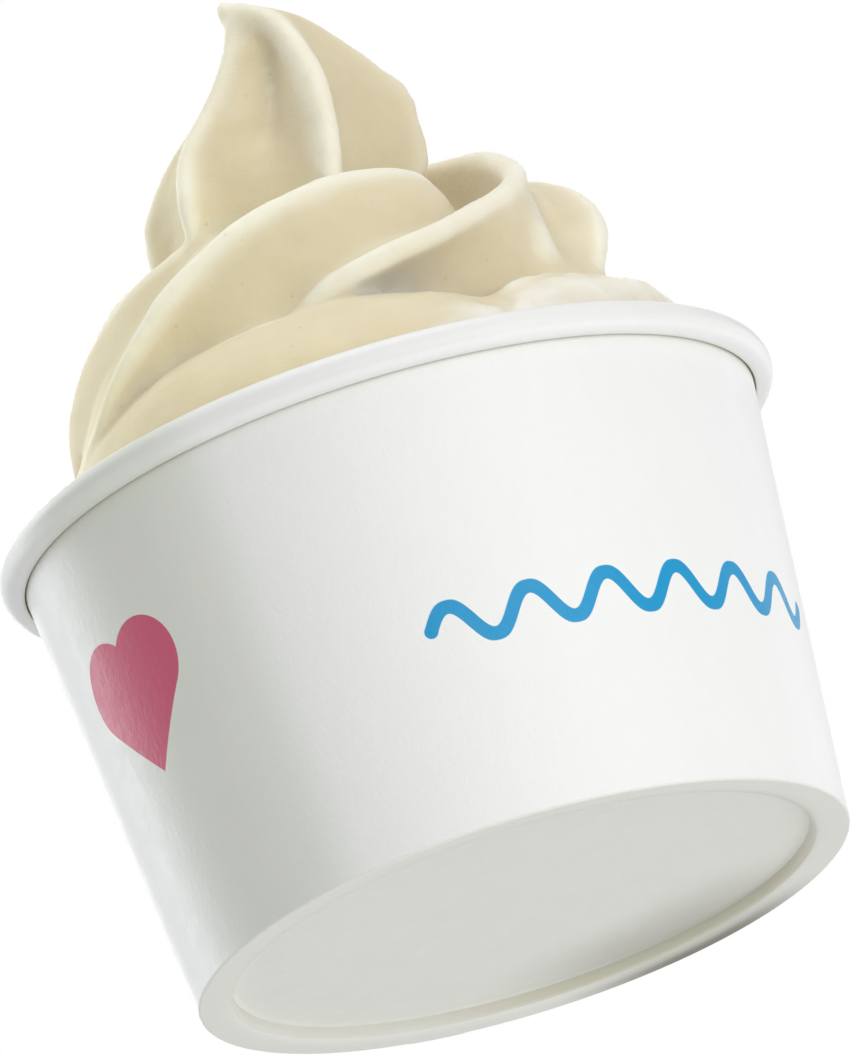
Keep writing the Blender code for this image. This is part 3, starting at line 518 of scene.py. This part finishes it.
def mark_crests(obj):
    """Stores "crest", which is 1 on the crests of the folds and ridges and falls to 0 a few millimetres away."""
    points, _, edges = mesh_arrays(obj.data)
    lines = crest_lines()
    tree = KDTree(len(lines))
    for index, line in enumerate(lines):
        tree.insert(line[:3], index)
    tree.balance()
    values = np.zeros(len(points))
    for i, point in enumerate(points.tolist()):
        _, index, distance = tree.find(point)
        width, strength = lines[index][3:]
        values[i] = strength * math.exp(-((distance * 1000 / width) ** 2) / 2)
    values = smoothed(values[:, None], edges, 2)[:, 0]
    made = obj.data.attributes.new("crest", "FLOAT", "POINT")
    made.data.foreach_set("value", values.astype(np.float32))


def distance_to(points, rows):
    """Distance of each point, in metres, to the curve through (azimuth, height, radius) rows."""
    line = np.array([[r * math.cos(math.radians(a)), r * math.sin(math.radians(a)), z] for a, z, r in smooth_rows(rows, 24)]) * R
    return np.sqrt(((points[:, None, :] - line[None]) ** 2).sum(2)).min(1)


def soften_flare(obj):
    """Where the curl runs out over the right fold and the ledge they flow into each other: the crease there is
    smoothed away, and a low soft ridge fans out from the curl's right edge."""
    points, normals, edges = mesh_arrays(obj.data)
    relaxed = smoothed(points, edges, 120)
    points += (relaxed - points) * np.exp(-((distance_to(points, FLOW) / 0.0036) ** 2))[:, None]
    points += normals * 0.0007 * np.exp(-((distance_to(points, FLARE) / 0.0020) ** 2))[:, None]
    obj.data.vertices.foreach_set("co", points.astype(np.float32).ravel())
    obj.data.update()


def mark_depth(obj):
    """Stores three numbers from 0 to 1 per point: "thin", how near the other side is behind it, which is what lets light
    through an edge, "shut", how near the surface in front of it is, as in a crease, and "deep", the same seen wider."""
    points, normals, edges = mesh_arrays(obj.data)
    tree = BVHTree.FromPolygons([tuple(p) for p in points], [tuple(f.vertices) for f in obj.data.polygons])
    count = 24
    k = np.arange(count) + 0.5
    rise = np.sqrt(1 - k / count)
    spin = k * math.pi * (3 - math.sqrt(5))
    flat = np.sqrt(k / count)
    local = np.stack([flat * np.cos(spin), flat * np.sin(spin), rise], -1)
    for name, side, fall, reach in (("thin", -1, 0.0025, 0.012), ("shut", 1, 0.0030, 0.012), ("deep", 1, 0.0090, 0.030)):
        values = np.zeros(len(points))
        for i in np.nonzero(points[:, 2] > 1.10 * R)[0]:
            n = normals[i] * side
            a = np.cross(n, (0, 0, 1) if abs(n[2]) < 0.9 else (1, 0, 0))
            a /= np.linalg.norm(a)
            ways = local @ np.stack([a, np.cross(n, a), n])
            start = Vector(points[i] + n * 0.00008)
            total = 0.0
            for way in ways.tolist():
                hit = tree.ray_cast(start, Vector(way), reach)[3]
                if hit is not None:
                    total += math.exp(-hit / fall)
            values[i] = total / count
        values = smoothed(values[:, None], edges, 4)[:, 0]
        made = obj.data.attributes.new(name, "FLOAT", "POINT")
        made.data.foreach_set("value", values.astype(np.float32))


def yogurt():
    obj = merged_swirl()
    roughen(obj)
    soften_flare(obj)
    mark_relief(obj)
    mark_crests(obj)
    mark_depth(obj)
    extend_down(obj)
    return obj


# ---------------------------------------------------------------- the paper cup
SEAM = 1.85                     # azimuth of the wall's overlap, radians: at the back
LAP = 0.0075                    # width of the overlap
PAPER = 0.00032                 # thickness of the sheet


def azimuths(count):
    """Azimuths round the cup, closer together at the two edges of the overlap."""
    base = [TAU * k / count for k in range(count)]
    extra = []
    for edge in (SEAM, SEAM + LAP / 0.043):
        extra += [edge + d for d in (-0.012, -0.004, -0.0015, 0.0, 0.0015, 0.004, 0.008, 0.014, 0.02)]
    kept = [a for a in base if all(abs(a - e) > 0.003 for e in extra)]
    return sorted(kept + extra)


def lap_height(azimuth):
    """The step where the sheet's outer edge lies over its inner edge, fading where the inner edge ends beneath."""
    into = (azimuth - SEAM) * 0.043
    if into <= 0:
        return 0.0
    up = min(1, into / 0.00008)
    down = 1 - float(ease(np.array(into), LAP - 0.0006, LAP + 0.0009))
    return PAPER * up * down


def arc(cx, cz, radius, start, end, count):
    return [(cx + radius * math.cos(start + (end - start) * k / count), cz + radius * math.sin(start + (end - start) * k / count))
            for k in range(count + 1)]


def wall_profile():
    """Closed loop (radius, height, how far the overlap lifts it): seat ring, outer wall, curled rim, inner wall."""
    fold_radius = 0.00034
    loop = [(SEAT_INNER + 0.0003, 0.00012, 0), (SEAT_INNER + 0.0008, 0.00002, 0), (SEAT_INNER + 0.0014, 0.0, 0),
            (SEAT_RADIUS - 0.0020, 0.0, 0), (SEAT_RADIUS - 0.0010, 0.0, 0.2)]
    for r, z in arc(SEAT_RADIUS - fold_radius + 0.00008, fold_radius, fold_radius, -math.pi / 2, 0.08, 8):
        loop.append((r, z, 0.7))
    for k in range(1, 40):
        z = 0.0012 + (WALL_TOP + 0.0007 - 0.0012) * k / 39
        loop.append((outer_radius(z), z, 1))
    roll_r = R - ROLL_RADIUS
    start = math.atan2(WALL_TOP + 0.0002 - ROLL_HEIGHT, WALL_TOP_RADIUS + 0.00035 - roll_r) % TAU
    for r, z in arc(roll_r, ROLL_HEIGHT, ROLL_RADIUS, start, 3 * math.pi, 44):
        loop.append((r, z, 1))
    inner = lambda z: outer_radius(z) - WALL
    for z in (WALL_TOP - 0.0012, 0.9 * R, 0.6 * R, 0.3 * R, 0.0030):
        loop.append((inner(z), z, 0))
    loop += [(RECESS_RADIUS + 0.0001, 0.0030, 0), (RECESS_RADIUS, 0.0015, 0), (RECESS_RADIUS + 0.0001, 0.0006, 0), (RECESS_RADIUS + 0.0003, 0.00028, 0)]
    return loop


def paper_wall():
    mesh = bmesh.new()
    rings = []
    for azimuth in azimuths(300):
        lift = lap_height(azimuth)
        sway = 0.00006 * math.sin(2 * azimuth + 0.6) + 0.00003 * math.sin(5 * azimuth)
        ring = []
        for r, z, share in wall_profile():
            r += lift * share + sway * share * min(1, z / 0.02)
            ring.append(mesh.verts.new((r * math.cos(azimuth), r * math.sin(azimuth), z)))
        rings.append(ring)
    for a, b in zip(rings, rings[1:] + rings[:1]):
        for k in range(len(a)):
            n = (k + 1) % len(a)
            mesh.faces.new((a[k], b[k], b[n], a[n]))
    bmesh.ops.recalc_face_normals(mesh, faces=mesh.faces)
    obj = object_of("paper_cup_wall", mesh)
    obj.data.set_sharp_from_angle(angle=math.radians(50))
    return obj


def paper_base():
    """The disc, pressed flat, turned down at its edge into the seat ring."""
    edge = RECESS_RADIUS + 0.0004
    turn = 0.0011
    under = [(0.012, RECESS_DEPTH - 0.00012), (0.024, RECESS_DEPTH - 0.00008), (edge - turn - 0.004, RECESS_DEPTH)]
    under += [(r, z) for r, z in arc(edge - turn, RECESS_DEPTH - turn, turn, math.pi / 2, 0.05, 8)]
    top = [(edge, RECESS_DEPTH + 0.0008), (0.024, RECESS_DEPTH + 0.00075), (0.012, RECESS_DEPTH + 0.0007)]
    mesh = turned(under + top, 240)
    obj = object_of("paper_cup_base", mesh)
    obj.data.set_sharp_from_angle(angle=math.radians(50))
    return obj


# ---------------------------------------------------------------- materials
class Nodes:
    """Shorthand for building a material's node tree."""

    def __init__(self, name):
        self.material = bpy.data.materials.new(name)
        self.material.use_nodes = True
        self.tree = self.material.node_tree
        self.shader = self.tree.nodes["Principled BSDF"]

    def new(self, kind, settings=None, **inputs):
        node = self.tree.nodes.new(kind)
        for key, value in (settings or {}).items():
            setattr(node, key, value)
        for key, value in inputs.items():
            self.set(node.inputs[key.replace("_", " ")], value)
        return node

    def set(self, socket, value):
        if isinstance(value, bpy.types.NodeSocket):
            self.tree.links.new(value, socket)
        else:
            socket.default_value = value

    def math(self, operation, a, b=None, c=None):
        node = self.tree.nodes.new("ShaderNodeMath")
        node.operation = operation
        for socket, value in zip(node.inputs, (a, b, c)):
            if value is not None:
                self.set(socket, value)
        return node.outputs[0]

    def step(self, value, low, high, to_low=0.0, to_high=1.0):
        node = self.tree.nodes.new("ShaderNodeMapRange")
        node.interpolation_type = "SMOOTHSTEP"
        for socket, v in zip(node.inputs, (value, low, high, to_low, to_high)):
            self.set(socket, v)
        return node.outputs[0]

    def mix(self, factor, a, b, blend="MIX"):
        node = self.tree.nodes.new("ShaderNodeMix")
        node.data_type = "RGBA"
        node.blend_type = blend
        for socket, value in ((node.inputs[0], factor), (node.inputs[6], a), (node.inputs[7], b)):
            self.set(socket, value)
        return node.outputs[2]

    def noise(self, vector, scale, detail=2.0, roughness=0.5):
        node = self.tree.nodes.new("ShaderNodeTexNoise")
        self.set(node.inputs["Vector"], vector)
        node.inputs["Scale"].default_value = scale
        node.inputs["Detail"].default_value = detail
        node.inputs["Roughness"].default_value = roughness
        return node.outputs["Fac"]

    def bump(self, height, distance, normal=None, strength=1.0):
        node = self.tree.nodes.new("ShaderNodeBump")
        node.inputs["Strength"].default_value = strength
        node.inputs["Distance"].default_value = distance
        self.set(node.inputs["Height"], height)
        if normal is not None:
            self.set(node.inputs["Normal"], normal)
        return node.outputs["Normal"]


def srgb(r, g, b):
    """Linear colour of an 8-bit sRGB one."""
    return tuple(c / 12.92 if c <= 0.04045 else ((c + 0.055) / 1.055) ** 2.4 for c in (r / 255, g / 255, b / 255)) + (1.0,)


YOGURT = srgb(221, 210, 175)
# Painted light: the paler colours of the ridges and, whiter still, of the ledge.
PAINTED_RIDGE_LIGHT = srgb(237, 234, 213)
PAINTED_LEDGE_LIGHT = srgb(240, 239, 228)
# Painted shade: the darker colour of the upper peak.
PAINTED_PEAK_SHADE = srgb(214, 202, 166)
# Painted shade: the greyer colour of the creases.
PAINTED_CREASE_SHADE = srgb(211, 207, 191)
PAPER_WHITE = srgb(238, 239, 238)
BASE_WHITE = srgb(228, 229, 222)
# Painted shade: the olive colour under the roll.
UNDER_ROLL_SHADE = srgb(196, 192, 160)
# Painted shade: the dark colour on one side of the seat ring and the base disc.
PAINTED_SHADE = srgb(118, 114, 98)
BLUE = srgb(0, 147, 201)
PINK = srgb(206, 92, 122)


def yogurt_material():
    n = Nodes("vanilla_frozen_yogurt")
    place = n.new("ShaderNodeTexCoord").outputs["Object"]
    wide = n.new("ShaderNodeAttribute", {"attribute_name": "relief_wide"}).outputs["Fac"]
    thin = n.new("ShaderNodeAttribute", {"attribute_name": "thin"}).outputs["Fac"]
    shut = n.new("ShaderNodeAttribute", {"attribute_name": "shut"}).outputs["Fac"]
    # Painted light: thin edges, crests and broad ridges are painted paler, standing in for light coming through the
    # edges and falling on the crests. Painted shade: closed creases are painted greyer.
    crest = n.new("ShaderNodeAttribute", {"attribute_name": "crest"}).outputs["Fac"]
    crest = n.step(n.math("ADD", crest, n.math("MULTIPLY", n.math("SUBTRACT", n.noise(place, 260, 2), 0.5), 0.35)), 0.15, 0.95)
    crest = n.math("MULTIPLY", crest, n.step(wide, -0.10, 0.25, 0.25, 1.0))
    ridge = n.math("ADD", n.math("MULTIPLY", thin, 1.6), n.math("MULTIPLY", n.step(wide, 0.30, 1.30), 0.25))
    ridge = n.math("ADD", ridge, n.math("MULTIPLY", crest, 0.75))
    deep = n.new("ShaderNodeAttribute", {"attribute_name": "deep"}).outputs["Fac"]
    axes = n.new("ShaderNodeSeparateXYZ", Vector=place)
    rise = axes.outputs[2]
    across = n.math("ADD", axes.outputs[0], n.math("MULTIPLY", n.math("SUBTRACT", n.noise(place, 45, 2), 0.5), 0.012))
    # Painted shade: the upper peak, except its far left, is painted a little darker.
    peak = n.math("MULTIPLY", n.step(rise, 1.78 * R, 2.05 * R), n.step(across, -0.28 * R, -0.16 * R))
    plain = n.mix(peak, YOGURT, PAINTED_PEAK_SHADE)
    # The painted ridge light is weaker on the upper peak and on the left side.
    ridge = n.math("MULTIPLY", ridge, n.math("SUBTRACT", 1.0, n.math("MAXIMUM", n.step(rise, 1.85 * R, 2.10 * R, 0.0, 0.28), n.step(across, -0.016, -0.032, 0.0, 0.55))))
    # Painted light: at the lower right, on the ledge, the ridges are painted whiter still.
    ledge_light_mask = n.math("MULTIPLY", n.step(across, -0.004, 0.016), n.step(rise, 1.45 * R, 1.30 * R))
    colour = n.mix(n.math("MINIMUM", ridge, 1.0), plain, n.mix(ledge_light_mask, PAINTED_RIDGE_LIGHT, PAINTED_LEDGE_LIGHT))
    # Painted shade: creases and deep hollows, where the surface in front is near, are painted greyer.
    crease_shade_mask = n.math("MAXIMUM", n.step(shut, 0.02, 0.35, 0.0, 0.8), n.step(deep, 0.17, 0.50, 0.0, 0.9))
    colour = n.mix(crease_shade_mask, colour, PAINTED_CREASE_SHADE)
    # Painted light: the left side is painted lighter and the right side a little darker and bluer; the left is also a
    # little yellower than the right. Faint clouding, and a few tiny darker specks and pores.
    cloud = n.noise(place, 170, 3, 0.55)
    colour = n.mix(n.step(cloud, 0.30, 0.72), n.mix(1.0, colour, (0.965, 0.955, 0.930, 1), "MULTIPLY"), colour)
    # Painted light: lighter on the left, a little darker and bluer on the right.
    tint = n.mix(n.step(across, -0.022, 0.020), (1.072, 1.085, 1.120, 1), (0.980, 0.980, 1.045, 1))
    colour = n.mix(1.0, colour, tint, "MULTIPLY")
    bent = n.new("ShaderNodeVectorMath", {"operation": "MULTIPLY_ADD"})
    n.set(bent.inputs[0], n.new("ShaderNodeTexNoise", Vector=place, Scale=1300.0).outputs["Color"])
    n.set(bent.inputs[1], (0.0007, 0.0007, 0.0007))
    n.set(bent.inputs[2], place)
    cells = n.new("ShaderNodeTexVoronoi", {"feature": "F1"}, Vector=bent.outputs[0], Scale=560.0)
    dice = n.new("ShaderNodeSeparateColor", Color=cells.outputs["Color"])
    size = n.step(dice.outputs[1], 0.0, 1.0, 0.10, 0.24)
    chosen = n.math("GREATER_THAN", dice.outputs[0], 0.80)
    speck = n.math("MULTIPLY", n.step(n.math("DIVIDE", cells.outputs["Distance"], size), 1.0, 0.3), chosen)
    colour = n.mix(n.math("MULTIPLY", speck, n.step(dice.outputs[2], 0.0, 1.0, 0.04, 0.20)), colour, srgb(150, 140, 110))
    n.set(n.shader.inputs["Base Color"], colour)
    n.shader.inputs["Roughness"].default_value = 0.58
    n.shader.inputs["Specular IOR Level"].default_value = 0.35
    n.shader.inputs["Subsurface Weight"].default_value = 0.6
    n.shader.inputs["Subsurface Radius"].default_value = (1.0, 0.85, 0.55)
    n.shader.inputs["Subsurface Scale"].default_value = 0.0024
    fine = n.math("ADD", n.noise(place, 1500, 3, 0.6), n.math("MULTIPLY", n.noise(place, 520, 2, 0.5), 0.8))
    fine = n.math("SUBTRACT", fine, n.math("MULTIPLY", speck, 0.5))
    n.set(n.shader.inputs["Normal"], n.bump(fine, 0.00006))
    return n.material


def wave_mask(n, along, up, half_length, amplitude, period, half_width):
    """1 on a wavy line with round turns and round ends. The half length is a whole number of half periods."""
    phase = n.math("MULTIPLY", along, TAU / period)
    offset = n.math("SUBTRACT", up, n.math("MULTIPLY", n.math("SINE", phase), amplitude))
    slope = n.math("MULTIPLY", n.math("COSINE", phase), amplitude * TAU / period)
    stretch = n.math("SQRT", n.math("ADD", n.math("MULTIPLY", slope, slope), 1.0))
    line = n.step(n.math("DIVIDE", n.math("ABSOLUTE", offset), stretch), half_width + 0.00006, half_width - 0.00006)
    steep = amplitude * TAU / period
    mask = line
    caps = None
    for side in (-1, 1):
        past = n.math("SUBTRACT", n.math("MULTIPLY", along, side), half_length)
        rise = n.math("MULTIPLY", up, side)
        beyond = n.math("DIVIDE", n.math("ADD", past, n.math("MULTIPLY", rise, steep)), math.hypot(1, steep))
        mask = n.math("MULTIPLY", mask, n.step(beyond, 0.00006, -0.00006))
        reach = n.math("SQRT", n.math("ADD", n.math("MULTIPLY", past, past), n.math("MULTIPLY", rise, rise)))
        cap = n.step(reach, half_width + 0.00006, half_width - 0.00006)
        caps = cap if caps is None else n.math("MAXIMUM", caps, cap)
    return n.math("MAXIMUM", mask, caps)


def heart_mask(n, across, up, side):
    """1 inside a heart: a square standing on its corner, and a circle on each of its upper sides."""
    root = math.sqrt(0.5)
    p = n.math("MULTIPLY", n.math("ADD", across, up), root)
    q = n.math("MULTIPLY", n.math("SUBTRACT", up, across), root)
    half = side / 2
    square = n.math("SUBTRACT", n.math("MAXIMUM", n.math("ABSOLUTE", p), n.math("ABSOLUTE", q)), half)

    def circle(a, b, ca, cb):
        da, db = n.math("SUBTRACT", a, ca), n.math("SUBTRACT", b, cb)
        return n.math("SUBTRACT", n.math("SQRT", n.math("ADD", n.math("MULTIPLY", da, da), n.math("MULTIPLY", db, db))), half)

    inside = n.math("MINIMUM", square, n.math("MINIMUM", circle(p, q, 0.0, half), circle(p, q, half, 0.0)))
    return n.step(inside, 0.00006, -0.00006)


def paper_material():
    n = Nodes("printed_paperboard")
    place = n.new("ShaderNodeTexCoord").outputs["Object"]
    axes = n.new("ShaderNodeSeparateXYZ", Vector=place)
    azimuth = n.math("ARCTAN2", axes.outputs[1], axes.outputs[0])
    height = axes.outputs[2]
    fibres = n.new("ShaderNodeMapping", Vector=place, Scale=(1.0, 1.0, 0.35)).outputs[0]
    tint = n.noise(fibres, 260, 4, 0.6)
    white = n.mix(n.step(tint, 0.25, 0.75), n.mix(1.0, PAPER_WHITE, (0.985, 0.988, 0.985, 1), "MULTIPLY"), PAPER_WHITE)
    # Painted shade: the wall's front left is painted greyer and darker.
    front_left_shade_mask = n.math("MULTIPLY", n.step(azimuth, math.radians(-160), math.radians(-141)), n.step(azimuth, math.radians(-111), math.radians(-123)))
    white = n.mix(front_left_shade_mask, white, n.mix(1.0, white, (0.892, 0.908, 0.850, 1), "MULTIPLY"))
    wall_radius = 0.886 * R
    # A blue double wave at the front right, and a pink heart at the front left.
    along = n.math("MULTIPLY", n.math("SUBTRACT", azimuth, math.radians(-50)), wall_radius)
    up = n.math("SUBTRACT", height, 0.505 * R)
    blue = wave_mask(n, along, up, 0.0300, 0.0023, 0.0100, 0.00085)
    across = n.math("MULTIPLY", n.math("SUBTRACT", azimuth, math.radians(-146)), wall_radius)
    pink = heart_mask(n, across, n.math("SUBTRACT", height, 0.660 * R), 0.0115)
    colour = n.mix(blue, white, BLUE)
    colour = n.mix(pink, colour, PINK)
    # The seat and the step up to the base show the sheet's plain side. The rest is painted shade: the roll's front
    # right, one side of the seat ring and of the step, and a line and soft shadow under the roll.
    radius = n.math("SQRT", n.math("ADD", n.math("MULTIPLY", axes.outputs[0], axes.outputs[0]), n.math("MULTIPLY", axes.outputs[1], axes.outputs[1])))
    # Painted shade: the top of the roll at the front right is painted a little darker.
    rim = n.math("MULTIPLY", n.step(height, WALL_TOP + 0.0005, WALL_TOP + 0.0010),
                 n.step(n.math("ABSOLUTE", n.math("SUBTRACT", azimuth, math.radians(-48))), math.radians(82), math.radians(50)))
    colour = n.mix(rim, colour, n.mix(1.0, colour, (0.955, 0.952, 0.950, 1), "MULTIPLY"))
    seat = n.step(height, 0.00034, 0.00018)
    colour = n.mix(seat, colour, BASE_WHITE)
    # Painted shade: the outer part of the seat ring is darker on one side, around azimuth 60 degrees.
    painted_shade_mask = n.math("MULTIPLY", n.step(radius, 0.755 * R, 0.815 * R, 0.30, 0.92),
                    n.step(n.math("ABSOLUTE", n.math("SUBTRACT", azimuth, math.radians(60))), math.radians(34), math.radians(4)))
    colour = n.mix(n.math("MULTIPLY", painted_shade_mask, seat), colour, PAINTED_SHADE)
    # The step face shows the sheet's plain side; painted shade makes it darker and more olive on its far side.
    step_face = n.math("MULTIPLY", n.step(radius, RECESS_RADIUS + 0.0006, RECESS_RADIUS + 0.0003), n.step(height, 0.0060, 0.0050))
    far_side_shade_mask = n.step(n.math("ABSOLUTE", n.math("SUBTRACT", azimuth, math.radians(55))), math.radians(75), math.radians(20))
    colour = n.mix(step_face, colour, n.mix(far_side_shade_mask, srgb(222, 221, 213), srgb(208, 206, 188)))
    # Painted shade under the roll: a thin dark line where the roll meets the wall, and a soft painted shadow on the
    # wall below it.
    under_roll = n.math("SUBTRACT", height, WALL_TOP + 0.0003)
    line = n.step(n.math("ABSOLUTE", under_roll), 0.00050, 0.00010, 0.0, 0.85)
    shadow_below_roll = n.math("MULTIPLY", n.step(under_roll, -0.0024, -0.0002, 0.0, 0.16), n.step(under_roll, 0.0002, 0.0))
    outside = n.math("MULTIPLY", n.step(radius, WALL_TOP_RADIUS - 0.0009, WALL_TOP_RADIUS - 0.0006),
                     n.step(radius, WALL_TOP_RADIUS + 0.0007, WALL_TOP_RADIUS + 0.00045))
    colour = n.mix(n.math("MULTIPLY", n.math("MAXIMUM", line, shadow_below_roll), outside), colour, UNDER_ROLL_SHADE)
    n.set(n.shader.inputs["Base Color"], colour)
    n.shader.inputs["Specular IOR Level"].default_value = 0.4
    sheen_noise = n.noise(place, 420, 3, 0.6)
    n.set(n.shader.inputs["Roughness"], n.step(sheen_noise, 0.2, 0.8, 0.38, 0.48))
    grain = n.math("ADD", n.noise(place, 1100, 3, 0.65), n.math("MULTIPLY", n.noise(fibres, 2600, 2, 0.6), 0.4))
    n.set(n.shader.inputs["Normal"], n.bump(grain, 0.00006))
    return n.material


def base_material():
    n = Nodes("uncoated_paperboard")
    place = n.new("ShaderNodeTexCoord").outputs["Object"]
    tint = n.noise(place, 300, 4, 0.65)
    colour = n.mix(n.step(tint, 0.25, 0.75), n.mix(1.0, BASE_WHITE, (0.975, 0.975, 0.97, 1), "MULTIPLY"), BASE_WHITE)
    # Painted shade: on one side, around azimuth 62 degrees, the disc is darker towards its edge, as on the seat ring.
    axes = n.new("ShaderNodeSeparateXYZ", Vector=place)
    azimuth = n.math("ARCTAN2", axes.outputs[1], axes.outputs[0])
    radius = n.math("SQRT", n.math("ADD", n.math("MULTIPLY", axes.outputs[0], axes.outputs[0]), n.math("MULTIPLY", axes.outputs[1], axes.outputs[1])))
    painted_shade_mask = n.math("MULTIPLY", n.step(radius, 0.38 * R, 0.74 * R, 0.0, 0.40),
                    n.step(n.math("ABSOLUTE", n.math("SUBTRACT", azimuth, math.radians(62))), math.radians(46), math.radians(4)))
    n.set(n.shader.inputs["Base Color"], n.mix(painted_shade_mask, colour, PAINTED_SHADE))
    n.set(n.shader.inputs["Roughness"], n.step(n.noise(place, 500, 2), 0.2, 0.8, 0.62, 0.72))
    n.shader.inputs["Specular IOR Level"].default_value = 0.35
    grain = n.math("ADD", n.noise(place, 900, 3, 0.6), n.math("MULTIPLY", n.noise(place, 2600, 2, 0.6), 0.6))
    n.set(n.shader.inputs["Normal"], n.bump(grain, 0.00006))
    return n.material


# ---------------------------------------------------------------- floor, lights, camera
def floor():
    """A pale floor at the cup's seat. It is one-sided, like a glTF surface: from below, where the camera looks up
    at the cup's base, it isn't there. It fades into the backdrop at its edge."""
    mesh = bmesh.new()
    bmesh.ops.create_circle(mesh, cap_ends=True, segments=96, radius=3.0)
    obj = object_of("floor", mesh)
    obj.location.z = -0.0001
    n = Nodes("pale_floor")
    n.shader.inputs["Base Color"].default_value = srgb(240, 240, 238)
    n.shader.inputs["Roughness"].default_value = 0.7
    clear = n.new("ShaderNodeBsdfTransparent")
    under = n.new("ShaderNodeNewGeometry").outputs["Backfacing"]
    place = n.new("ShaderNodeTexCoord").outputs["Object"]
    far = n.step(n.new("ShaderNodeVectorMath", {"operation": "LENGTH"}, Vector=place).outputs["Value"], 0.35, 1.6)
    mix = n.new("ShaderNodeMixShader")
    n.set(mix.inputs[0], n.math("MAXIMUM", under, far))
    n.tree.links.new(n.shader.outputs[0], mix.inputs[1])
    n.tree.links.new(clear.outputs[0], mix.inputs[2])
    n.tree.links.new(mix.outputs[0], n.tree.nodes["Material Output"].inputs["Surface"])
    obj.data.materials.append(n.material)
    for ray in ("visible_diffuse", "visible_glossy", "visible_transmission", "visible_shadow"):
        setattr(obj, ray, False)


AIM = Vector((0, 0, 0.055))
# name: azimuth and elevation it shines from, distance, width, height, watts, colour
LIGHTS = {
    "front_left": (-105, 0, 0.80, 0.45, 0.45, 0.40, (1.0, 1.0, 0.90)),
    "front": (-75, 0, 0.80, 0.45, 0.45, 1.39, (1.0, 1.0, 0.97)),
    "front_right": (-45, 0, 0.80, 0.45, 0.45, 1.48, (0.99, 0.99, 1.0)),
    "front_high": (-90, 65, 0.80, 0.50, 0.50, 0.83, (1.0, 1.0, 1.0)),
    "right": (15, 0, 0.80, 0.45, 0.45, 0.43, (1.0, 1.0, 1.0)),
    "back_right": (50, 0, 0.80, 0.45, 0.45, 0.84, (1.0, 1.0, 1.0)),
    "back": (95, 20, 0.80, 0.50, 0.50, 2.52, (1.0, 1.0, 1.0)),
    "back_left_strip": (140, 15, 0.80, 0.20, 0.90, 2.95, (0.97, 0.99, 1.0)),
    "left_low": (-172, -14, 0.80, 0.40, 0.30, 0.42, (0.98, 1.0, 0.99)),
    "top": (0, 90, 0.80, 0.50, 0.50, 2.17, (1.0, 1.0, 1.0)),
    "low_right": (-30, -45, 0.80, 0.60, 0.60, 1.40, (1.0, 1.0, 1.0)),
    "low_back": (90, -45, 0.80, 0.60, 0.60, 0.55, (1.0, 1.0, 1.0)),
    "below": (0, -89, 0.80, 0.50, 0.50, 1.42, (1.0, 1.0, 1.0)),
}
AMBIENT = 0.40


def lights():
    for name, (azimuth, elevation, distance, width, height, watts, colour) in LIGHTS.items():
        data = bpy.data.lights.new(name, "AREA")
        data.shape = "RECTANGLE"
        data.size, data.size_y = width, height
        data.energy = watts
        data.color = colour
        obj = bpy.data.objects.new(name, data)
        a, e = math.radians(azimuth), math.radians(elevation)
        way = Vector((math.cos(e) * math.cos(a), math.cos(e) * math.sin(a), math.sin(e)))
        obj.location = AIM + way * distance
        obj.rotation_euler = way.to_track_quat("Z", "Y").to_euler()
        obj.visible_camera = False
        bpy.context.scene.collection.objects.link(obj)


def world():
    """White backdrop for the camera, and a softer even light on the object."""
    made = bpy.data.worlds.new("studio")
    bpy.context.scene.world = made
    made.use_nodes = True
    tree = made.node_tree
    background = tree.nodes["Background"]
    background.inputs["Color"].default_value = (1, 1, 1, 1)
    seen = tree.nodes.new("ShaderNodeLightPath").outputs["Is Camera Ray"]
    strength = tree.nodes.new("ShaderNodeMapRange")
    strength.inputs["To Min"].default_value = AMBIENT
    strength.inputs["To Max"].default_value = 1.0
    tree.links.new(seen, strength.inputs["Value"])
    tree.links.new(strength.outputs[0], background.inputs["Strength"])


def camera():
    """A long lens that looks up at the cup from below, turned so that the cup leans to the left."""
    elevation, roll = math.radians(-17.44), math.radians(-17.55)
    distance, focal_pixels = 60 * R, 24170
    target = Vector((0.0550 * R, 0, 1.041 * R))
    back = Vector((0, -math.cos(elevation), math.sin(elevation)))
    right = Vector((1, 0, 0))
    up = right.cross(-back)
    turned_right = math.cos(roll) * right + math.sin(roll) * up
    turned_up = -math.sin(roll) * right + math.cos(roll) * up
    data = bpy.data.cameras.new("camera")
    data.sensor_width = 36
    data.sensor_fit = "AUTO"
    data.lens = focal_pixels * 36 / 1056
    data.clip_end = 100
    obj = bpy.data.objects.new("camera", data)
    place = Matrix.Identity(4)
    for column, vector in enumerate((turned_right, turned_up, back, target + back * distance)):
        for row in range(3):
            place[row][column] = vector[row]
    obj.matrix_world = place
    bpy.context.scene.collection.objects.link(obj)
    bpy.context.scene.camera = obj


# ---------------------------------------------------------------- the scene
swirl = yogurt()
swirl.data.materials.clear()
swirl.data.materials.append(yogurt_material())
wall = paper_wall()
wall.data.materials.append(paper_material())
base = paper_base()
base.data.materials.append(base_material())
for piece, node, slot in ((swirl, "frozen_yogurt", "vanilla_yogurt"), (wall, "cup_wall", "cup_paperboard"),
                          (base, "cup_base", "base_paperboard")):
    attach(piece, "root")
    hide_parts(node)
floor()
lights()
world()
camera()
bpy.context.scene.view_settings.view_transform = "Standard"
